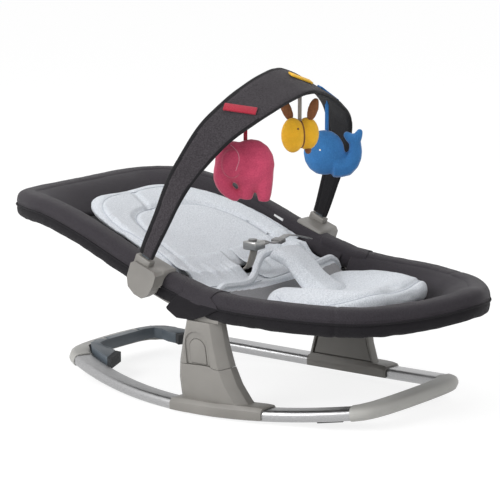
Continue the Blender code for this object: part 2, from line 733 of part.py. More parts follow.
def buildPosts():
    wallY = levelAt(ARCH_POCKET_TOP)[5]

    def lower(name):
        shell = postSolid(name)
        boolean(shell, saddle("saddle"), "UNION")
        boolean(shell, postHollow("hollow", POST_WALL, 0.026, 0.20))
        boolean(shell, extrusion("above", seamOutline(-SEAT_GAP), 0.3, faceXZ(0.2), cutter=True))
        return boolean(shell, runnerCutter())

    def upper(name):
        shell = postSolid(name)
        boolean(shell, postHollow("hollow", POST_WALL + ARCH_POCKET_DEPTH, 0.026, 0.150))
        boolean(shell, extrusion("above", seamOutline(SEAT_GAP), 0.3, faceXZ(0.2), cutter=True), "INTERSECT")
        bottom = POST_SEAM_Z - 0.010
        pocket = archOutline(ARCH_POCKET_WIDTH, bottom, ARCH_POCKET_TOP)
        pocketFace = [(u + BUTTON_X, v) for u, v in pocket]
        rings = []
        for depth in (-0.010, ARCH_POCKET_DEPTH):
            rings.append([Vector((x, -(levelAt(z)[5] - depth), z)) for x, z in pocketFace])
        boolean(shell, loft("pocket", rings, cutter=True))
        hole = archOutline(BUTTON_WIDTH + 2 * RUN_GAP, POST_SEAM_Z + 0.0045, BUTTON_TOP + RUN_GAP)
        holeFace = [(u + BUTTON_X, v) for u, v in hole]
        return boolean(shell, extrusion("hole", holeFace, 0.05, faceXZ(wallY), cutter=True))

    def button(name):
        outline = archOutline(BUTTON_WIDTH, POST_SEAM_Z + 0.0045 + RUN_GAP, BUTTON_TOP)
        face = [(u + BUTTON_X, v) for u, v in outline]
        rings = []
        for depth in (ARCH_POCKET_DEPTH - 0.0008, ARCH_POCKET_DEPTH + BUTTON_DEPTH):
            rings.append([Vector((x, -(levelAt(z)[5] - depth), z)) for x, z in face])
        made = loft(name, rings, "post_plastic")
        return made

    def inner(name):
        rings = []
        for z in (0.0275, 0.055, 0.085, 0.120, 0.1485):
            level = levelAt(z)
            inset = POST_WALL + ARCH_POCKET_DEPTH + 2 * SEAT_GAP
            rear = level[1] + inset
            front = level[4] - inset
            near = level[6] + PANEL_SETBACK
            rings.append([
                Vector((rear, -near, z)),
                Vector((front, -near, z)),
                Vector((front, -(near + PANEL_THICKNESS), z)),
                Vector((rear, -(near + PANEL_THICKNESS), z)),
            ])
        return loft(name, rings, "post_plastic")

    bothSides("post_lower", lower)
    bothSides("post_upper", upper)
    bothSides("post_inner", inner)
    right, left = bothSides("release_button", button)
    setOrigin(right, (BUTTON_X, -wallY, POST_SEAM_Z + 0.02))
    setOrigin(left, (BUTTON_X, wallY, POST_SEAM_Z + 0.02))


# Seat hinge and tubes

BACK_PLAN = (
    # rim tube centre, head end to hinge: x, y, z above the floor
    (HEAD_X, 0.000, HEAD_Z),
    (HEAD_X, 0.095, HEAD_Z),
    (-0.376, 0.147, HEAD_Z + 0.001),
    (-0.335, 0.175, HEAD_Z + 0.002),
    (-0.280, 0.190, 0.285),
    (-0.200, 0.200, 0.264),
    (-0.100, 0.2045, 0.226),
    (-0.030, 0.2035, 0.201),
    (HINGE_X, HINGE_Y, HINGE_Z),
)
LEG_PLAN = (
    (HINGE_X, HINGE_Y, HINGE_Z),
    (0.100, 0.200, 0.178),
    (0.190, 0.190, 0.177),
    (0.260, 0.167, 0.176),
    (0.305, 0.139, 0.177),
    (0.345, 0.092, 0.181),
    (0.374, 0.044, 0.187),
    (FOOT_X, 0.000, FOOT_Z),
)


def seatPath(plan, steps):
    """The whole U of one seat frame, right side to left side through its closed end."""
    half = [Vector(p) for p in plan]
    if half[0].y > 0:
        half.reverse()
    left = smooth([Vector((p.x, -p.y, p.z)) for p in (half[2], half[1])] + half, steps)
    left = left[2 * steps:]
    left[0].y = 0.0
    right = [Vector((p.x, -p.y, p.z)) for p in reversed(left[1:])]
    return right + left


def cutBack(path, gap):
    """Drop the ends of a seat path that lie within a distance of the hinge axis."""
    kept = [p for p in path if abs(p.x - HINGE_X) > gap + 0.004]
    first = kept[0] + (path[0] - kept[0]) * ((abs(kept[0].x - HINGE_X) - gap) / abs(kept[0].x - HINGE_X))
    last = Vector((first.x, -first.y, first.z))
    return [first] + kept + [last]


def railProfile():
    return superellipse(RIM_HALF_WIDTH, RIM_HALF_HEIGHT, 2.6, RIM_SIDES)


def buildSeatFrames():
    for name, plan in (("back_frame", BACK_PLAN), ("leg_frame", LEG_PLAN)):
        path = cutBack(seatPath(plan, PATH_STEPS), DISC_RADIUS + 4 * RUN_GAP)
        tube(name, path, TUBE_RADIUS, "steel")
    def paddedRim(name, plan, path):
        rim = sweep(name, path, railProfile(), "dark_fabric")
        return boolean(rim, tube("bore", seatPath(plan, PATH_STEPS), TUBE_RADIUS + SEAT_GAP * 2, cutter=True))

    def backHalf(name):
        path = [p for p in cutBack(seatPath(BACK_PLAN, PATH_STEPS), BACK_RIM_END) if p.y < -SEAT_GAP]
        square = [Vector((HEAD_X, -y, HEAD_Z)) for y in (TUBE_RADIUS, SEAT_GAP / 2)]
        return paddedRim(name, BACK_PLAN, path + square)

    bothSides("back_rim", backHalf)
    paddedRim("leg_rim", LEG_PLAN, cutBack(seatPath(LEG_PLAN, PATH_STEPS), LEG_RIM_END))


def spigotPath(plan, start, length):
    """The right-hand tube's centre line just past its hinge disc."""
    end = Vector(plan[-1] if plan is BACK_PLAN else plan[0])
    inner = Vector(plan[-2] if plan is BACK_PLAN else plan[1])
    for point in (end, inner):
        point.y = -point.y
    along = (inner - end).normalized()
    return [end + along * start, end + along * (start + length)]


def hingeHalf(name, plan, side):
    """A disc with an ear and a spigot that plugs into its tube."""
    axis = Matrix.Rotation(math.radians(90), 4, "X")
    y = HINGE_Y + side * (RUN_GAP + DISC_THICKNESS) / 2
    disc = cylinder(name, DISC_RADIUS, DISC_THICKNESS, Matrix.Translation((HINGE_X, -y, HINGE_Z)) @ axis, "post_plastic")
    start, stop = spigotPath(plan, DISC_RADIUS + RUN_GAP, SPIGOT_LENGTH)
    root = spigotPath(plan, DISC_RADIUS * 0.6, 0.001)[0]
    middle = (root + start) / 2
    middle.y = -y
    ear = Vector((DISC_THICKNESS, 2 * EAR_HALF, (start - root).length + 0.002))
    boolean(disc, box("ear", ear, frameAt(middle, stop - start), cutter=True), "UNION")
    return boolean(disc, tube("spigot", [start, stop], SPIGOT_RADIUS, cutter=True, sides=2), "UNION")


def buildHinges():
    """Two discs on one pin at each side: the inner one carries the leg tube, the outer one the back tube."""
    axis = Matrix.Rotation(math.radians(90), 4, "X")

    def fixed(name):
        disc = hingeHalf(name, LEG_PLAN, -1)
        pinLength = 2 * DISC_THICKNESS + RUN_GAP
        place = Matrix.Translation((HINGE_X, -HINGE_Y, HINGE_Z)) @ axis
        boolean(disc, cylinder("pin", PIN_RADIUS, pinLength, place, cutter=True), "UNION")
        neckTop = HINGE_Z - DISC_RADIUS - 2 * RUN_GAP
        foot = postTop() + SEAT_GAP
        size = Vector((NECK_LENGTH, NECK_WIDTH, neckTop - foot))
        centre = (HINGE_X + 0.009, -HINGE_Y, (neckTop + foot) / 2)
        boolean(disc, box("neck", size, Matrix.Translation(centre), cutter=True), "UNION")
        y = HINGE_Y - (RUN_GAP + DISC_THICKNESS) / 2
        web = Vector((0.012, DISC_THICKNESS, 0.016))
        return boolean(disc, box("web", web, Matrix.Translation((HINGE_X, -y, foot + 0.0085)), cutter=True), "UNION")

    def moving(name):
        disc = hingeHalf(name, BACK_PLAN, 1)
        y = HINGE_Y + (RUN_GAP + DISC_THICKNESS) / 2
        place = Matrix.Translation((HINGE_X, -y, HINGE_Z)) @ axis
        return boolean(disc, cylinder("hole", PIN_RADIUS + RUN_GAP / 2, 0.05, place, cutter=True))

    bothSides("hinge_fixed", fixed)
    right, left = bothSides("hinge_moving", moving)
    setOrigin(right, (HINGE_X, -HINGE_Y, HINGE_Z))
    setOrigin(left, (HINGE_X, HINGE_Y, HINGE_Z))


def fitSeatToHinges():
    """Clear the tubes and the padded rims where the hinge pieces run."""
    axis = Matrix.Rotation(math.radians(90), 4, "X")
    for side in (-1, 1):
        for frame, plan in (("back_frame", BACK_PLAN), ("leg_frame", LEG_PLAN)):
            path = [Vector((p.x, -side * p.y, p.z)) for p in spigotPath(plan, 0.0, DISC_RADIUS + SPIGOT_LENGTH + 0.002)]
            bore = tube("bore", path, SPIGOT_RADIUS + SEAT_GAP, cutter=True, sides=2)
            boolean(bpy.data.objects[frame], bore)
        for rim in ("back_rim_left" if side > 0 else "back_rim_right", "leg_rim"):
            place = Matrix.Translation((HINGE_X, side * HINGE_Y, HINGE_Z)) @ axis
            width = 2 * DISC_THICKNESS + 4 * RUN_GAP
            boolean(bpy.data.objects[rim], cylinder("disc_room", DISC_RADIUS + 3 * RUN_GAP, width, place, cutter=True))
        top = HINGE_Z - DISC_RADIUS - RUN_GAP
        notch = Vector((0.120, 0.060, 0.030))
        place = Matrix.Translation((HINGE_X, side * HINGE_Y, top - notch.z / 2))
        boolean(bpy.data.objects["leg_rim"], box("post_room", notch, place, cutter=True))


def buildHingeArms():
    """A bare arm under each side of the backrest, let into the padded rim and joined to the moving disc."""
    path = []
    for x in ARM_STATIONS:
        y = interpolate(x, [(p[0], p[1]) for p in BACK_PLAN])
        z = interpolate(x, [(p[0], p[2]) for p in BACK_PLAN])
        path.append(Vector((x, -y, z - ARM_DROP)))
    outline = roundedBox(ARM_WIDTH, ARM_HEIGHT, 0.003, 2)
    room = roundedBox(ARM_WIDTH + 2 * SEAT_GAP, ARM_HEIGHT + 2 * SEAT_GAP, 0.003, 2)
    longer = [path[0] + (path[0] - path[1]).normalized() * SEAT_GAP] + path[1:]
    longer.append(path[-1] + Vector((0.02, 0, -0.005)))
    for side, suffix in ((-1, "right"), (1, "left")):
        backRim = "back_rim_" + suffix

        def sided(points):
            return [Vector((p.x, -side * p.y, p.z)) for p in points]

        boolean(bpy.data.objects[backRim], sweep("arm_room", sided(longer), room, cutter=True))
        disc = bpy.data.objects["hinge_moving_" + suffix]
        offset = disc.location.copy()
        disc.data.transform(Matrix.Translation(offset))
        disc.location = (0, 0, 0)
        bpy.context.view_layer.update()
        boolean(disc, sweep("arm", sided(path), outline, cutter=True), "UNION")
        y = side * (HINGE_Y + (RUN_GAP + DISC_THICKNESS) / 2)
        web = Vector((0.024, DISC_THICKNESS, 0.009))
        place = Matrix.Translation((HINGE_X - 0.019, y, HINGE_Z - 0.013))
        boolean(disc, box("web", web, place, cutter=True), "UNION")
        webRoom = web + Vector((2, 2, 2)) * SEAT_GAP
        boolean(bpy.data.objects[backRim], box("web_room", webRoom, place, cutter=True))
        setOrigin(disc, offset)


# Slings and pads

def innerEdge(plan):
    """Just inside the padded rim: x, half width and height, from the hinge to the closed end."""
    half = [p for p in seatPath(plan, PATH_STEPS) if p.y < -0.004]
    if abs(half[0].x - HINGE_X) > abs(half[-1].x - HINGE_X):
        half.reverse()
    edge = []
    for before, point, after in zip(half, half[1:], half[2:]):
        along = Vector((after.x - before.x, after.y - before.y, 0)).normalized()
        inward = Vector((-along.y, along.x, 0))
        if inward.dot(Vector((HINGE_X - point.x, -point.y, 0))) < 0:
            inward = -inward
        place = point + inward * (RIM_HALF_WIDTH - SLING_TUCK)
        reach = abs(place.x - HINGE_X)
        if not edge or reach > abs(edge[-1][0] - HINGE_X) + 0.005:
            edge.append((place.x, -place.y, place.z))
    return edge


def gridShell(name, rows, thickness, finish):
    """A cloth grid with its underside straight below, so that its edges stay upright."""
    bm = bmesh.new()
    sides = []
    for drop in (0.0, thickness):
        sides.append([[bm.verts.new(point - Vector((0, 0, drop))) for point in row] for row in rows])
    for grid in sides:
        for lower, upper in zip(grid, grid[1:]):
            for i in range(len(lower) - 1):
                bm.faces.new((lower[i], lower[i + 1], upper[i + 1], upper[i]))
    loops = []
    for grid in sides:
        loop = grid[0][:] + [row[-1] for row in grid[1:]] + grid[-1][-2::-1] + [row[0] for row in grid[-2:0:-1]]
        loops.append(loop)
    for i in range(len(loops[0])):
        j = (i + 1) % len(loops[0])
        bm.faces.new((loops[0][i], loops[0][j], loops[1][j], loops[1][i]))
    return meshObject(name, bm, finish)


def slingRows(edge, sag, columns=6):
    """Rows across the seat between the two rims, hanging by a given depth."""
    rows = []
    for x, half, z in edge:
        depth = interpolate(x, sag)
        row = []
        for i in range(columns + 1):
            t = 2 * i / columns - 1
            row.append(Vector((x, half * t, z - SLING_DROP - depth * (1 - abs(t) ** 2.4))))
        rows.append(row)
    return rows


def hipCutter(radius, halfWidth):
    """The drum about the hinge axis that parts the backrest's cloth from the seat's."""
    place = Matrix.Translation((HINGE_X, 0, HINGE_Z)) @ Matrix.Rotation(math.radians(90), 4, "X")
    return cylinder("hip", radius, 2 * halfWidth, place, cutter=True, segments=40)


def buildSlings():
    backEdge = [p for p in innerEdge(BACK_PLAN) if p[0] < HINGE_X - 0.030]
    back = gridShell("back_sling", slingRows(backEdge, BACK_SAG), SLING_THICKNESS, "dark_fabric")
    boolean(back, hipCutter(HIP_RADIUS + RUN_GAP, 0.25))
    boolean(back, rimRoom(BACK_PLAN, BACK_RIM_END))
    rows = slingRows([p for p in innerEdge(LEG_PLAN) if p[0] > HINGE_X + 0.004], LEG_SAG)
    first = rows[0]
    middle = first[len(first) // 2].z
    rear = []
    for x, drop in HIP_BOWL:
        rear.append([Vector((x, p.y * HIP_SIDE / first[-1].y, HINGE_Z - drop + (p.z - middle) * 0.9)) for p in first])
    leg = gridShell("leg_sling", rear + rows, SLING_THICKNESS, "dark_fabric")
    boolean(leg, hipCutterOutside())
    boolean(leg, rimRoom(LEG_PLAN, LEG_RIM_END))
    for sling in (back, leg):
        largestBody(sling)


def hipCutterOutside():
    """Everything behind the drum, for trimming the seat's own cloth."""
    block = box("outside", Vector((0.3, 0.6, 0.6)), Matrix.Translation((HINGE_X - 0.15, 0, HINGE_Z)), cutter=True)
    return boolean(block, hipCutter(HIP_RADIUS, 0.4))


def cushion(name, stations, crown, finish="liner_fabric", columns=8, belly=0.35):
    """A padded cushion: an outline of stations with a crowned top and drawn-in sides."""
    bm = bmesh.new()
    top = []
    bottom = []
    for s, (x, half, edgeZ, middleZ, thick) in enumerate(stations):
        topRow = []
        bottomRow = []
        for i in range(columns + 1):
            t = 2 * i / columns - 1
            share = 1 - abs(t) ** 2.6
            z = edgeZ + (middleZ - edgeZ) * share
            rim = i in (0, columns) or s in (0, len(stations) - 1)
            seam = Vector((x, half * t, z - thick * belly))
            if rim:
                vert = bm.verts.new(seam)
                topRow.append(vert)
                bottomRow.append(vert)
                continue
            puff = crown(x, half * t) if crown else 0.0
            topRow.append(bm.verts.new((x, half * t, z + puff)))
            bottomRow.append(bm.verts.new((x, half * t, z - thick)))
        top.append(topRow)
        bottom.append(bottomRow)
    for grid, flip in ((top, False), (bottom, True)):
        for lower, upper in zip(grid, grid[1:]):
            for i in range(columns):
                face = (lower[i], lower[i + 1], upper[i + 1], upper[i])
                bm.faces.new(reversed(face) if flip else face)
    obj = meshObject(name, bm, finish)
    subdivide = obj.modifiers.new("soft", "SUBSURF")
    subdivide.levels = 1
    subdivide.render_levels = 1
    return obj


def rimRoom(plan, end):
    """The padded rim grown by the seating gap."""
    outline = superellipse(RIM_HALF_WIDTH + SEAT_GAP, RIM_HALF_HEIGHT + SEAT_GAP, 2.6, RIM_SIDES)
    return sweep("rim_room", cutBack(seatPath(plan, PATH_STEPS), end - SEAT_GAP), outline, cutter=True)


def roomAround(source):
    """A cloth piece grown by the seating gap, for a piece that lies against it."""
    graph = bpy.context.evaluated_depsgraph_get()
    mesh = bpy.data.meshes.new_from_object(source.evaluated_get(graph))
    bm = bmesh.new()
    bm.from_mesh(mesh)
    bpy.data.meshes.remove(mesh)
    faceOut(bm)
    bm.normal_update()
    for vert in bm.verts:
        vert.co += vert.normal * SEAT_GAP * 1.6
    mesh = bpy.data.meshes.new("room")
    bm.to_mesh(mesh)
    bm.free()
    return addObject("room", mesh, cutter=True)


def bodyCushionPuff(x, y):
    """The raised body cushion inside the head and side bolsters."""
    inside = 1 - ((x + 0.060) / 0.130) ** 2 - (y / 0.125) ** 2
    return 0.0085 * max(0.0, min(1.0, 3 * inside))


def footCushionDent(x, y):
    """A shallow hollow toward the foot end."""
    near = 1 - ((x - 0.185) / 0.060) ** 2 - (y / 0.070) ** 2
    return 0.004 - 0.013 * max(0.0, min(1.0, 2 * near))


def buildPads():
    back = cushion("back_pad", BACK_PAD, bodyCushionPuff, columns=8)
    boolean(back, rimRoom(BACK_PLAN, BACK_RIM_END))
    boolean(back, hipCutter(HIP_RADIUS + RUN_GAP, BACK_LOBE_Y))
    boolean(back, roomAround(bpy.data.objects["back_sling"]))
    seat = cushion("seat_pad", SEAT_PAD, None)
    boolean(seat, hipCutterOutside())
    boolean(seat, rimRoom(LEG_PLAN, LEG_RIM_END))
    boolean(seat, roomAround(bpy.data.objects["leg_sling"]))
    foot = cushion("foot_cushion", FOOT_CUSHION, footCushionDent, columns=8, belly=0.5)
    footRoom = roomAround(foot)
    boolean(foot, rimRoom(LEG_PLAN, LEG_RIM_END))
    boolean(foot, roomAround(bpy.data.objects["leg_sling"]))
    boolean(foot, roomAround(seat))
    tongue = cushion("crotch_pad", CROTCH_PAD, None, columns=6, belly=0.5)
    boolean(tongue, footRoom)
    boolean(tongue, roomAround(seat))
    for pad in (back, seat, foot, tongue):
        largestBody(pad)


# Toy bar, its clips and loops

BAR_ACROSS = Vector((math.cos(BAR_LEAN), 0, -math.sin(BAR_LEAN)))
BAR_UP = Vector((math.sin(BAR_LEAN), 0, math.cos(BAR_LEAN)))


def barCentre(span, rise):
    """A point of the arch from its sideways offset and its height along the leaning plane."""
    return BAR_BASE + BAR_UP * rise + Vector((0, span, 0))


def barPath():
    """The arch's centre line from inside the right socket over the top into the left socket."""
    half = [(-s, r) for s, r in BAR_SHAPE]
    points = half + [(-s, r) for s, r in reversed(half[:-1])]
    return smooth([barCentre(s, r) for s, r in points], 2)


def barRings(path, thickness, width=None, grow=0.0):
    """Rounded strips across the arch, one for each point of a path; the sleeve widens to the top."""
    rings = []
    for index, point in enumerate(path):
        before = path[max(index - 1, 0)]
        after = path[min(index + 1, len(path) - 1)]
        outward = (after - before).normalized().cross(BAR_ACROSS).normalized()
        height = (point - BAR_BASE).dot(BAR_UP) / BAR_RISE
        wide = width or BAR_WIDTH_FOOT + (BAR_WIDTH_TOP - BAR_WIDTH_FOOT) * interpolate(height, BAR_WIDENING)
        ring = []
        for u, v in roundedBox(wide + 2 * grow, thickness + 2 * grow, thickness * 0.3, 1):
            ring.append(point + BAR_ACROSS * u + outward * v)
        rings.append(ring)
    return rings


def coreRoom(grow):
    """The stiff core grown by a gap."""
    path = barPath()
    longer = [path[0] + (path[0] - path[1]).normalized() * grow] + path[1:-1]
    longer.append(path[-1] + (path[-1] - path[-2]).normalized() * grow)
    return loft("core_room", barRings(longer, CORE_THICKNESS, CORE_WIDTH, grow), cutter=True)


def buildToyBar():
    path = barPath()
    core = loft("toy_bar_core", barRings(path, CORE_THICKNESS, CORE_WIDTH), "stop_plastic")
    sleeve = loft("toy_bar_sleeve", barRings(path[2:-2], BAR_THICKNESS), "dark_fabric")
    boolean(sleeve, coreRoom(SEAT_GAP))
    for obj in (core, sleeve):
        setOrigin(obj, BAR_BASE)
    for name, span, length, slant, finish in TOY_LOOPS:
        place = min(path, key=lambda p: abs(p.y - span))
        index = path.index(place)
        along = (path[index + 1] - path[index - 1]).normalized()
        outward = BAR_ACROSS.cross(along).normalized()
        centre = place + outward * (BAR_THICKNESS / 2 + LOOP_THICKNESS / 2 + 2 * SEAT_GAP)
        turn = Matrix((BAR_ACROSS, along, outward)).transposed().to_4x4()
        turn.translation = centre
        turn = turn @ Matrix.Rotation(math.radians(slant), 4, "Z")
        loop = box(name, Vector((length, LOOP_WIDTH, LOOP_THICKNESS)), turn, finish, bevel=0.0007)
        setOrigin(loop, BAR_BASE)


def clipFrame():
    """A frame on the right-hand rim at the clip: X along the rim, Y inwards, Z off its top."""
    z = interpolate(CLIP_X, [(p[0], p[2]) for p in BACK_PLAN])
    y = interpolate(CLIP_X, [(p[0], p[1]) for p in BACK_PLAN])
    ahead = interpolate(CLIP_X + 0.02, [(p[0], p[2]) for p in BACK_PLAN])
    slope = math.atan2(z - ahead, 0.02)
    return Matrix.Translation((CLIP_X, -y, z)) @ Matrix.Rotation(slope, 4, "Y")


def shieldOutline():
    """The clip's outer plate: square shoulders and a blunt point below."""
    return [(-0.026, 0.020), (-0.026, -0.004), (-0.019, -0.018), (-0.004, -0.0245), (0.012, -0.0245),
            (0.022, -0.013), (0.026, 0.004), (0.026, 0.020), (0.020, 0.0255), (-0.020, 0.0255)]


def buildClips():
    def clip(name):
        frame = clipFrame()
        outer = RIM_HALF_WIDTH + CLIP_WALL
        top = RIM_HALF_HEIGHT + CLIP_WALL
        size = Vector((CLIP_LENGTH, outer + CLIP_REACH, top + 0.004))
        place = frame @ Matrix.Translation((0, (CLIP_REACH - outer) / 2, (top - 0.004) / 2))
        body = box(name, size, place, "bow_plastic", bevel=0.004)
        side = frame @ faceXZ(RIM_HALF_WIDTH + CLIP_PLATE / 2 + 0.001)
        boolean(body, extrusion("plate", shieldOutline(), CLIP_PLATE, side, cutter=True), "UNION")
        height = SOCKET_DEPTH + 0.019
        socket = barCentre(-BAR_SHAPE[0][0], SOCKET_TOP - SEAT_GAP - height / 2)
        place = frameAt(socket, BAR_UP, Vector((0, 1, 0)))
        boolean(body, box("socket", Vector((0.030, 0.0145, height)), place, cutter=True, bevel=0.002), "UNION")
        boolean(body, rimRoom(BACK_PLAN, BACK_RIM_END))
        return boolean(body, coreRoom(RUN_GAP))

    bothSides("clip", clip)


# Rocking stop

def stopOutline(grow=0.0):
    """Plan of the U-shaped stop without its tips."""
    reach = TRACK_HALF - STOP_TO_TRACK
    half = [
        (STOP_BAR_REAR, 0.0), (STOP_BAR_REAR, 0.060), (-0.3045, 0.079), (-0.283, reach - 0.0215), (-0.2345, reach - 0.0020),
        (-0.2500, reach - 0.0415), (-0.2640, reach - 0.0455), (-0.2780, reach - 0.0435), (-0.2900, 0.072),
        (STOP_BAR_FRONT, 0.052), (STOP_BAR_FRONT, 0.0),
    ]
    left = [Vector((x, y, 0)) for x, y in half]
    right = [Vector((x, -y, 0)) for x, y in reversed(half[1:-1])]
    outline = left + right
    if not grow:
        return [(p.x, p.y) for p in outline]
    grown = []
    for before, point, after in zip(outline[-1:] + outline[:-1], outline, outline[1:] + outline[:1]):
        first = (point - before).normalized()
        second = (after - point).normalized()
        normal = (Vector((-first.y, first.x, 0)) + Vector((-second.y, second.x, 0))).normalized()
        share = max(0.5, normal.dot(Vector((-first.y, first.x, 0))))
        grown.append(point + normal * grow / share)
    return [(p.x, p.y) for p in grown]


def dropProngs(obj):
    """Slope the prongs down toward their tips."""
    for vert in obj.data.vertices:
        beyond = max(0.0, vert.co.x - STOP_PRONG_X)
        vert.co.z -= STOP_PRONG_SLOPE * beyond
    return obj


def buildStop():
    across = Matrix.Rotation(math.radians(90), 4, "X")
    axis = Vector((STOP_AXIS_X, 0, STOP_AXIS_Z))
    radius = STOP_THICKNESS / 2
    level = Matrix.Translation((0, 0, STOP_AXIS_Z))
    stop = dropProngs(extrusion("rocking_stop", stopOutline(), STOP_THICKNESS, level, "stop_plastic"))
    barrel = cylinder("barrel", radius, STOP_BARREL, Matrix.Translation(axis) @ across, cutter=True)
    boolean(stop, barrel, "UNION")
    bow = bpy.data.objects["rear_bow"]
    room = extrusion("room", stopOutline(STOP_ROOM), 0.2, Matrix.Translation((0, 0, 0.05)), cutter=True)
    boolean(bow, room)
    barrelRoom = cylinder("barrel_room", radius + 2 * RUN_GAP, STOP_BARREL + 4 * RUN_GAP, Matrix.Translation(axis) @ across, cutter=True)
    boolean(bow, barrelRoom)
    for side in (-1, 1):
        lug = Matrix.Translation(axis + Vector((0, side * STOP_LUG_Y, 0)))
        slot = Vector((0.0300, STOP_LUG_WIDTH + 2 * RUN_GAP, 0.05))
        boolean(stop, box("slot", slot, lug @ Matrix.Translation((-0.0053, 0, 0)), cutter=True))
        boolean(bow, cylinder("lug", radius - 0.0005, STOP_LUG_WIDTH, lug @ across, cutter=True), "UNION")
        web = Vector((0.016, STOP_LUG_WIDTH, 0.011))
        boolean(bow, box("web", web, lug @ Matrix.Translation((-0.008, 0, -0.0015)), cutter=True), "UNION")
        pinLength = STOP_LUG_WIDTH + 0.010
        boolean(bow, cylinder("pin", STOP_PIN_RADIUS, pinLength, lug @ across, cutter=True, segments=16), "UNION")
        boolean(stop, cylinder("hole", STOP_PIN_RADIUS + RUN_GAP / 2, pinLength + 0.001, lug @ across, cutter=True, segments=16))
    reach = TRACK_HALF - STOP_TO_TRACK
    tipOutline = [(-0.2340, reach - 0.0013), (-0.2250, reach), (-0.2410, reach - 0.0450), (-0.2495, reach - 0.0420)]

    def tip(name):
        face = [(x, -y) for x, y in tipOutline]
        return dropProngs(extrusion(name, face, STOP_THICKNESS - 0.001, level, "rubber"))

    right, left = bothSides("stop_tip", tip)
    for obj in (stop, right, left):
        setOrigin(obj, axis)


# Harness

def buildHarness():
    centre = Matrix.Translation(BUCKLE_CENTRE)
    body = box("buckle_body", BUCKLE_SIZE, centre, "buckle_plastic", bevel=0.002)
    mouth = Vector((TONGUE_SIZE.x - 0.006 + RUN_GAP, TONGUE_INSERT + 0.002, TONGUE_SIZE.z + RUN_GAP))
    mouthPlace = centre @ Matrix.Translation((0, BUCKLE_SIZE.y / 2 - mouth.y / 2 + 0.001, 0))
    boolean(body, box("mouth", mouth, mouthPlace, cutter=True))
    top = BUCKLE_CENTRE + Vector((0, -0.004, BUCKLE_SIZE.z / 2))
    well = Matrix.Translation(top)
    boolean(body, cylinder("well", BUCKLE_BUTTON_RADIUS + RUN_GAP / 2, 0.007, well, cutter=True))
    button = cylinder("buckle_button", BUCKLE_BUTTON_RADIUS, BUCKLE_BUTTON_HEIGHT, Matrix.Translation(top + Vector((0, 0, 0.0012))), "webbing")
    setOrigin(button, top)
    tongue = box("buckle_tongue", Vector((TONGUE_SIZE.x - 0.006, TONGUE_INSERT, TONGUE_SIZE.z)),
                 centre @ Matrix.Translation((0, BUCKLE_SIZE.y / 2 - TONGUE_INSERT / 2 + 0.001, 0)), "buckle_plastic")
    plate = Vector((TONGUE_SIZE.x, TONGUE_SIZE.y - TONGUE_INSERT, TONGUE_SIZE.z))
    platePlace = centre @ Matrix.Translation((0, BUCKLE_SIZE.y / 2 + plate.y / 2 + 0.0007, 0))
    boolean(tongue, box("plate", plate, platePlace, cutter=True), "UNION")
    slot = Vector((TONGUE_SIZE.x - 0.006, 0.0036, 0.02))
    slotPlace = centre @ Matrix.Translation((0, BUCKLE_SIZE.y / 2 + plate.y - 0.0042, 0))
    boolean(tongue, box("slot", slot, slotPlace, cutter=True))
    strapOutline = roundedBox(TONGUE_SIZE.x - 0.007, STRAP_THICKNESS, 0.0006, 1)
    waist = sweep("waist_strap", smooth([BUCKLE_CENTRE + Vector(p) for p in WAIST_STRAP], 2), strapOutline, "webbing")
    run = Vector(WAIST_STRAP[4]) - Vector(WAIST_STRAP[2])
    slide = frameAt(BUCKLE_CENTRE + Vector(WAIST_STRAP[3]), run)
    adjuster = box("strap_adjuster", Vector((0.022, 0.0065, 0.013)), slide, "buckle_plastic", bevel=0.0015)
    boolean(adjuster, box("window", Vector((0.0145, 0.0042, 0.2)), slide, cutter=True))
    for obj in (tongue, adjuster, waist):
        setOrigin(obj, BUCKLE_CENTRE)
    bottom = BUCKLE_CENTRE - Vector((0, 0, BUCKLE_SIZE.z / 2 + SEAT_GAP))
    crotch = [bottom, bottom + Vector((-0.004, 0, -0.014)), bottom + Vector((-0.010, 0, -0.028)), Vector(CROTCH_ANCHOR)]
    path = smooth(crotch, 3)
    rings = []
    for index, point in enumerate(path):
        before = path[max(index - 1, 0)]
        after = path[min(index + 1, len(path) - 1)]
        along = (after - before).normalized()
        if index == 0:
            along = Vector((0, 0, -1))
        across = along.cross(Vector((0, 1, 0))).normalized()
        ring = []
        for v, u in roundedBox(STRAP_WIDTH, STRAP_THICKNESS, 0.0006, 1):
            ring.append(point + Vector((0, v, 0)) + across * u)
        rings.append(ring)
    strap = loft("crotch_strap", rings, "webbing")
    boolean(strap, roomAround(bpy.data.objects["seat_pad"]))
    largestBody(strap)


# Soft toys

TOY_FACING = Vector((0.80, 0.60, 0.0))


def toyFrame(place, tilt=0.0):
    """A toy faces across the bouncer: X along its length, Y its thickness, Z up."""
    z = Vector((0, 0, 1))
    y = z.cross(TOY_FACING)
    matrix = Matrix((TOY_FACING, y, z)).transposed().to_4x4()
    matrix.translation = Vector(place)
    return matrix @ Matrix.Rotation(tilt, 4, "Y")


def toyTube(name, frame, points, radius, radii, finish=None, cutter=False):
    """A stuffed limb along points in the toy's own frame."""
    path = smooth([frame @ Vector((x, y, z)) for x, y, z in points], 2)
    spread = smooth([(r, 0, 0) for r in radii], 2)
    return tube(name, path, radius, finish, cutter, sides=2, radii=[s.x for s in spread])


def clearOf(target, *others):
    """Draw a stuffed piece in where others rest against it."""
    for other in others:
        boolean(target, roomAround(other))


def strapTop(toy):
    """The stitch under the arch's sleeve, straight above a toy."""
    sleeve = bpy.data.objects["toy_bar_sleeve"]
    start = Vector(toy) - sleeve.location
    hit, place, normal, face = sleeve.ray_cast(start, Vector((0, 0, 1)))
    return place + sleeve.location - Vector((0, 0, TOY_GAP))


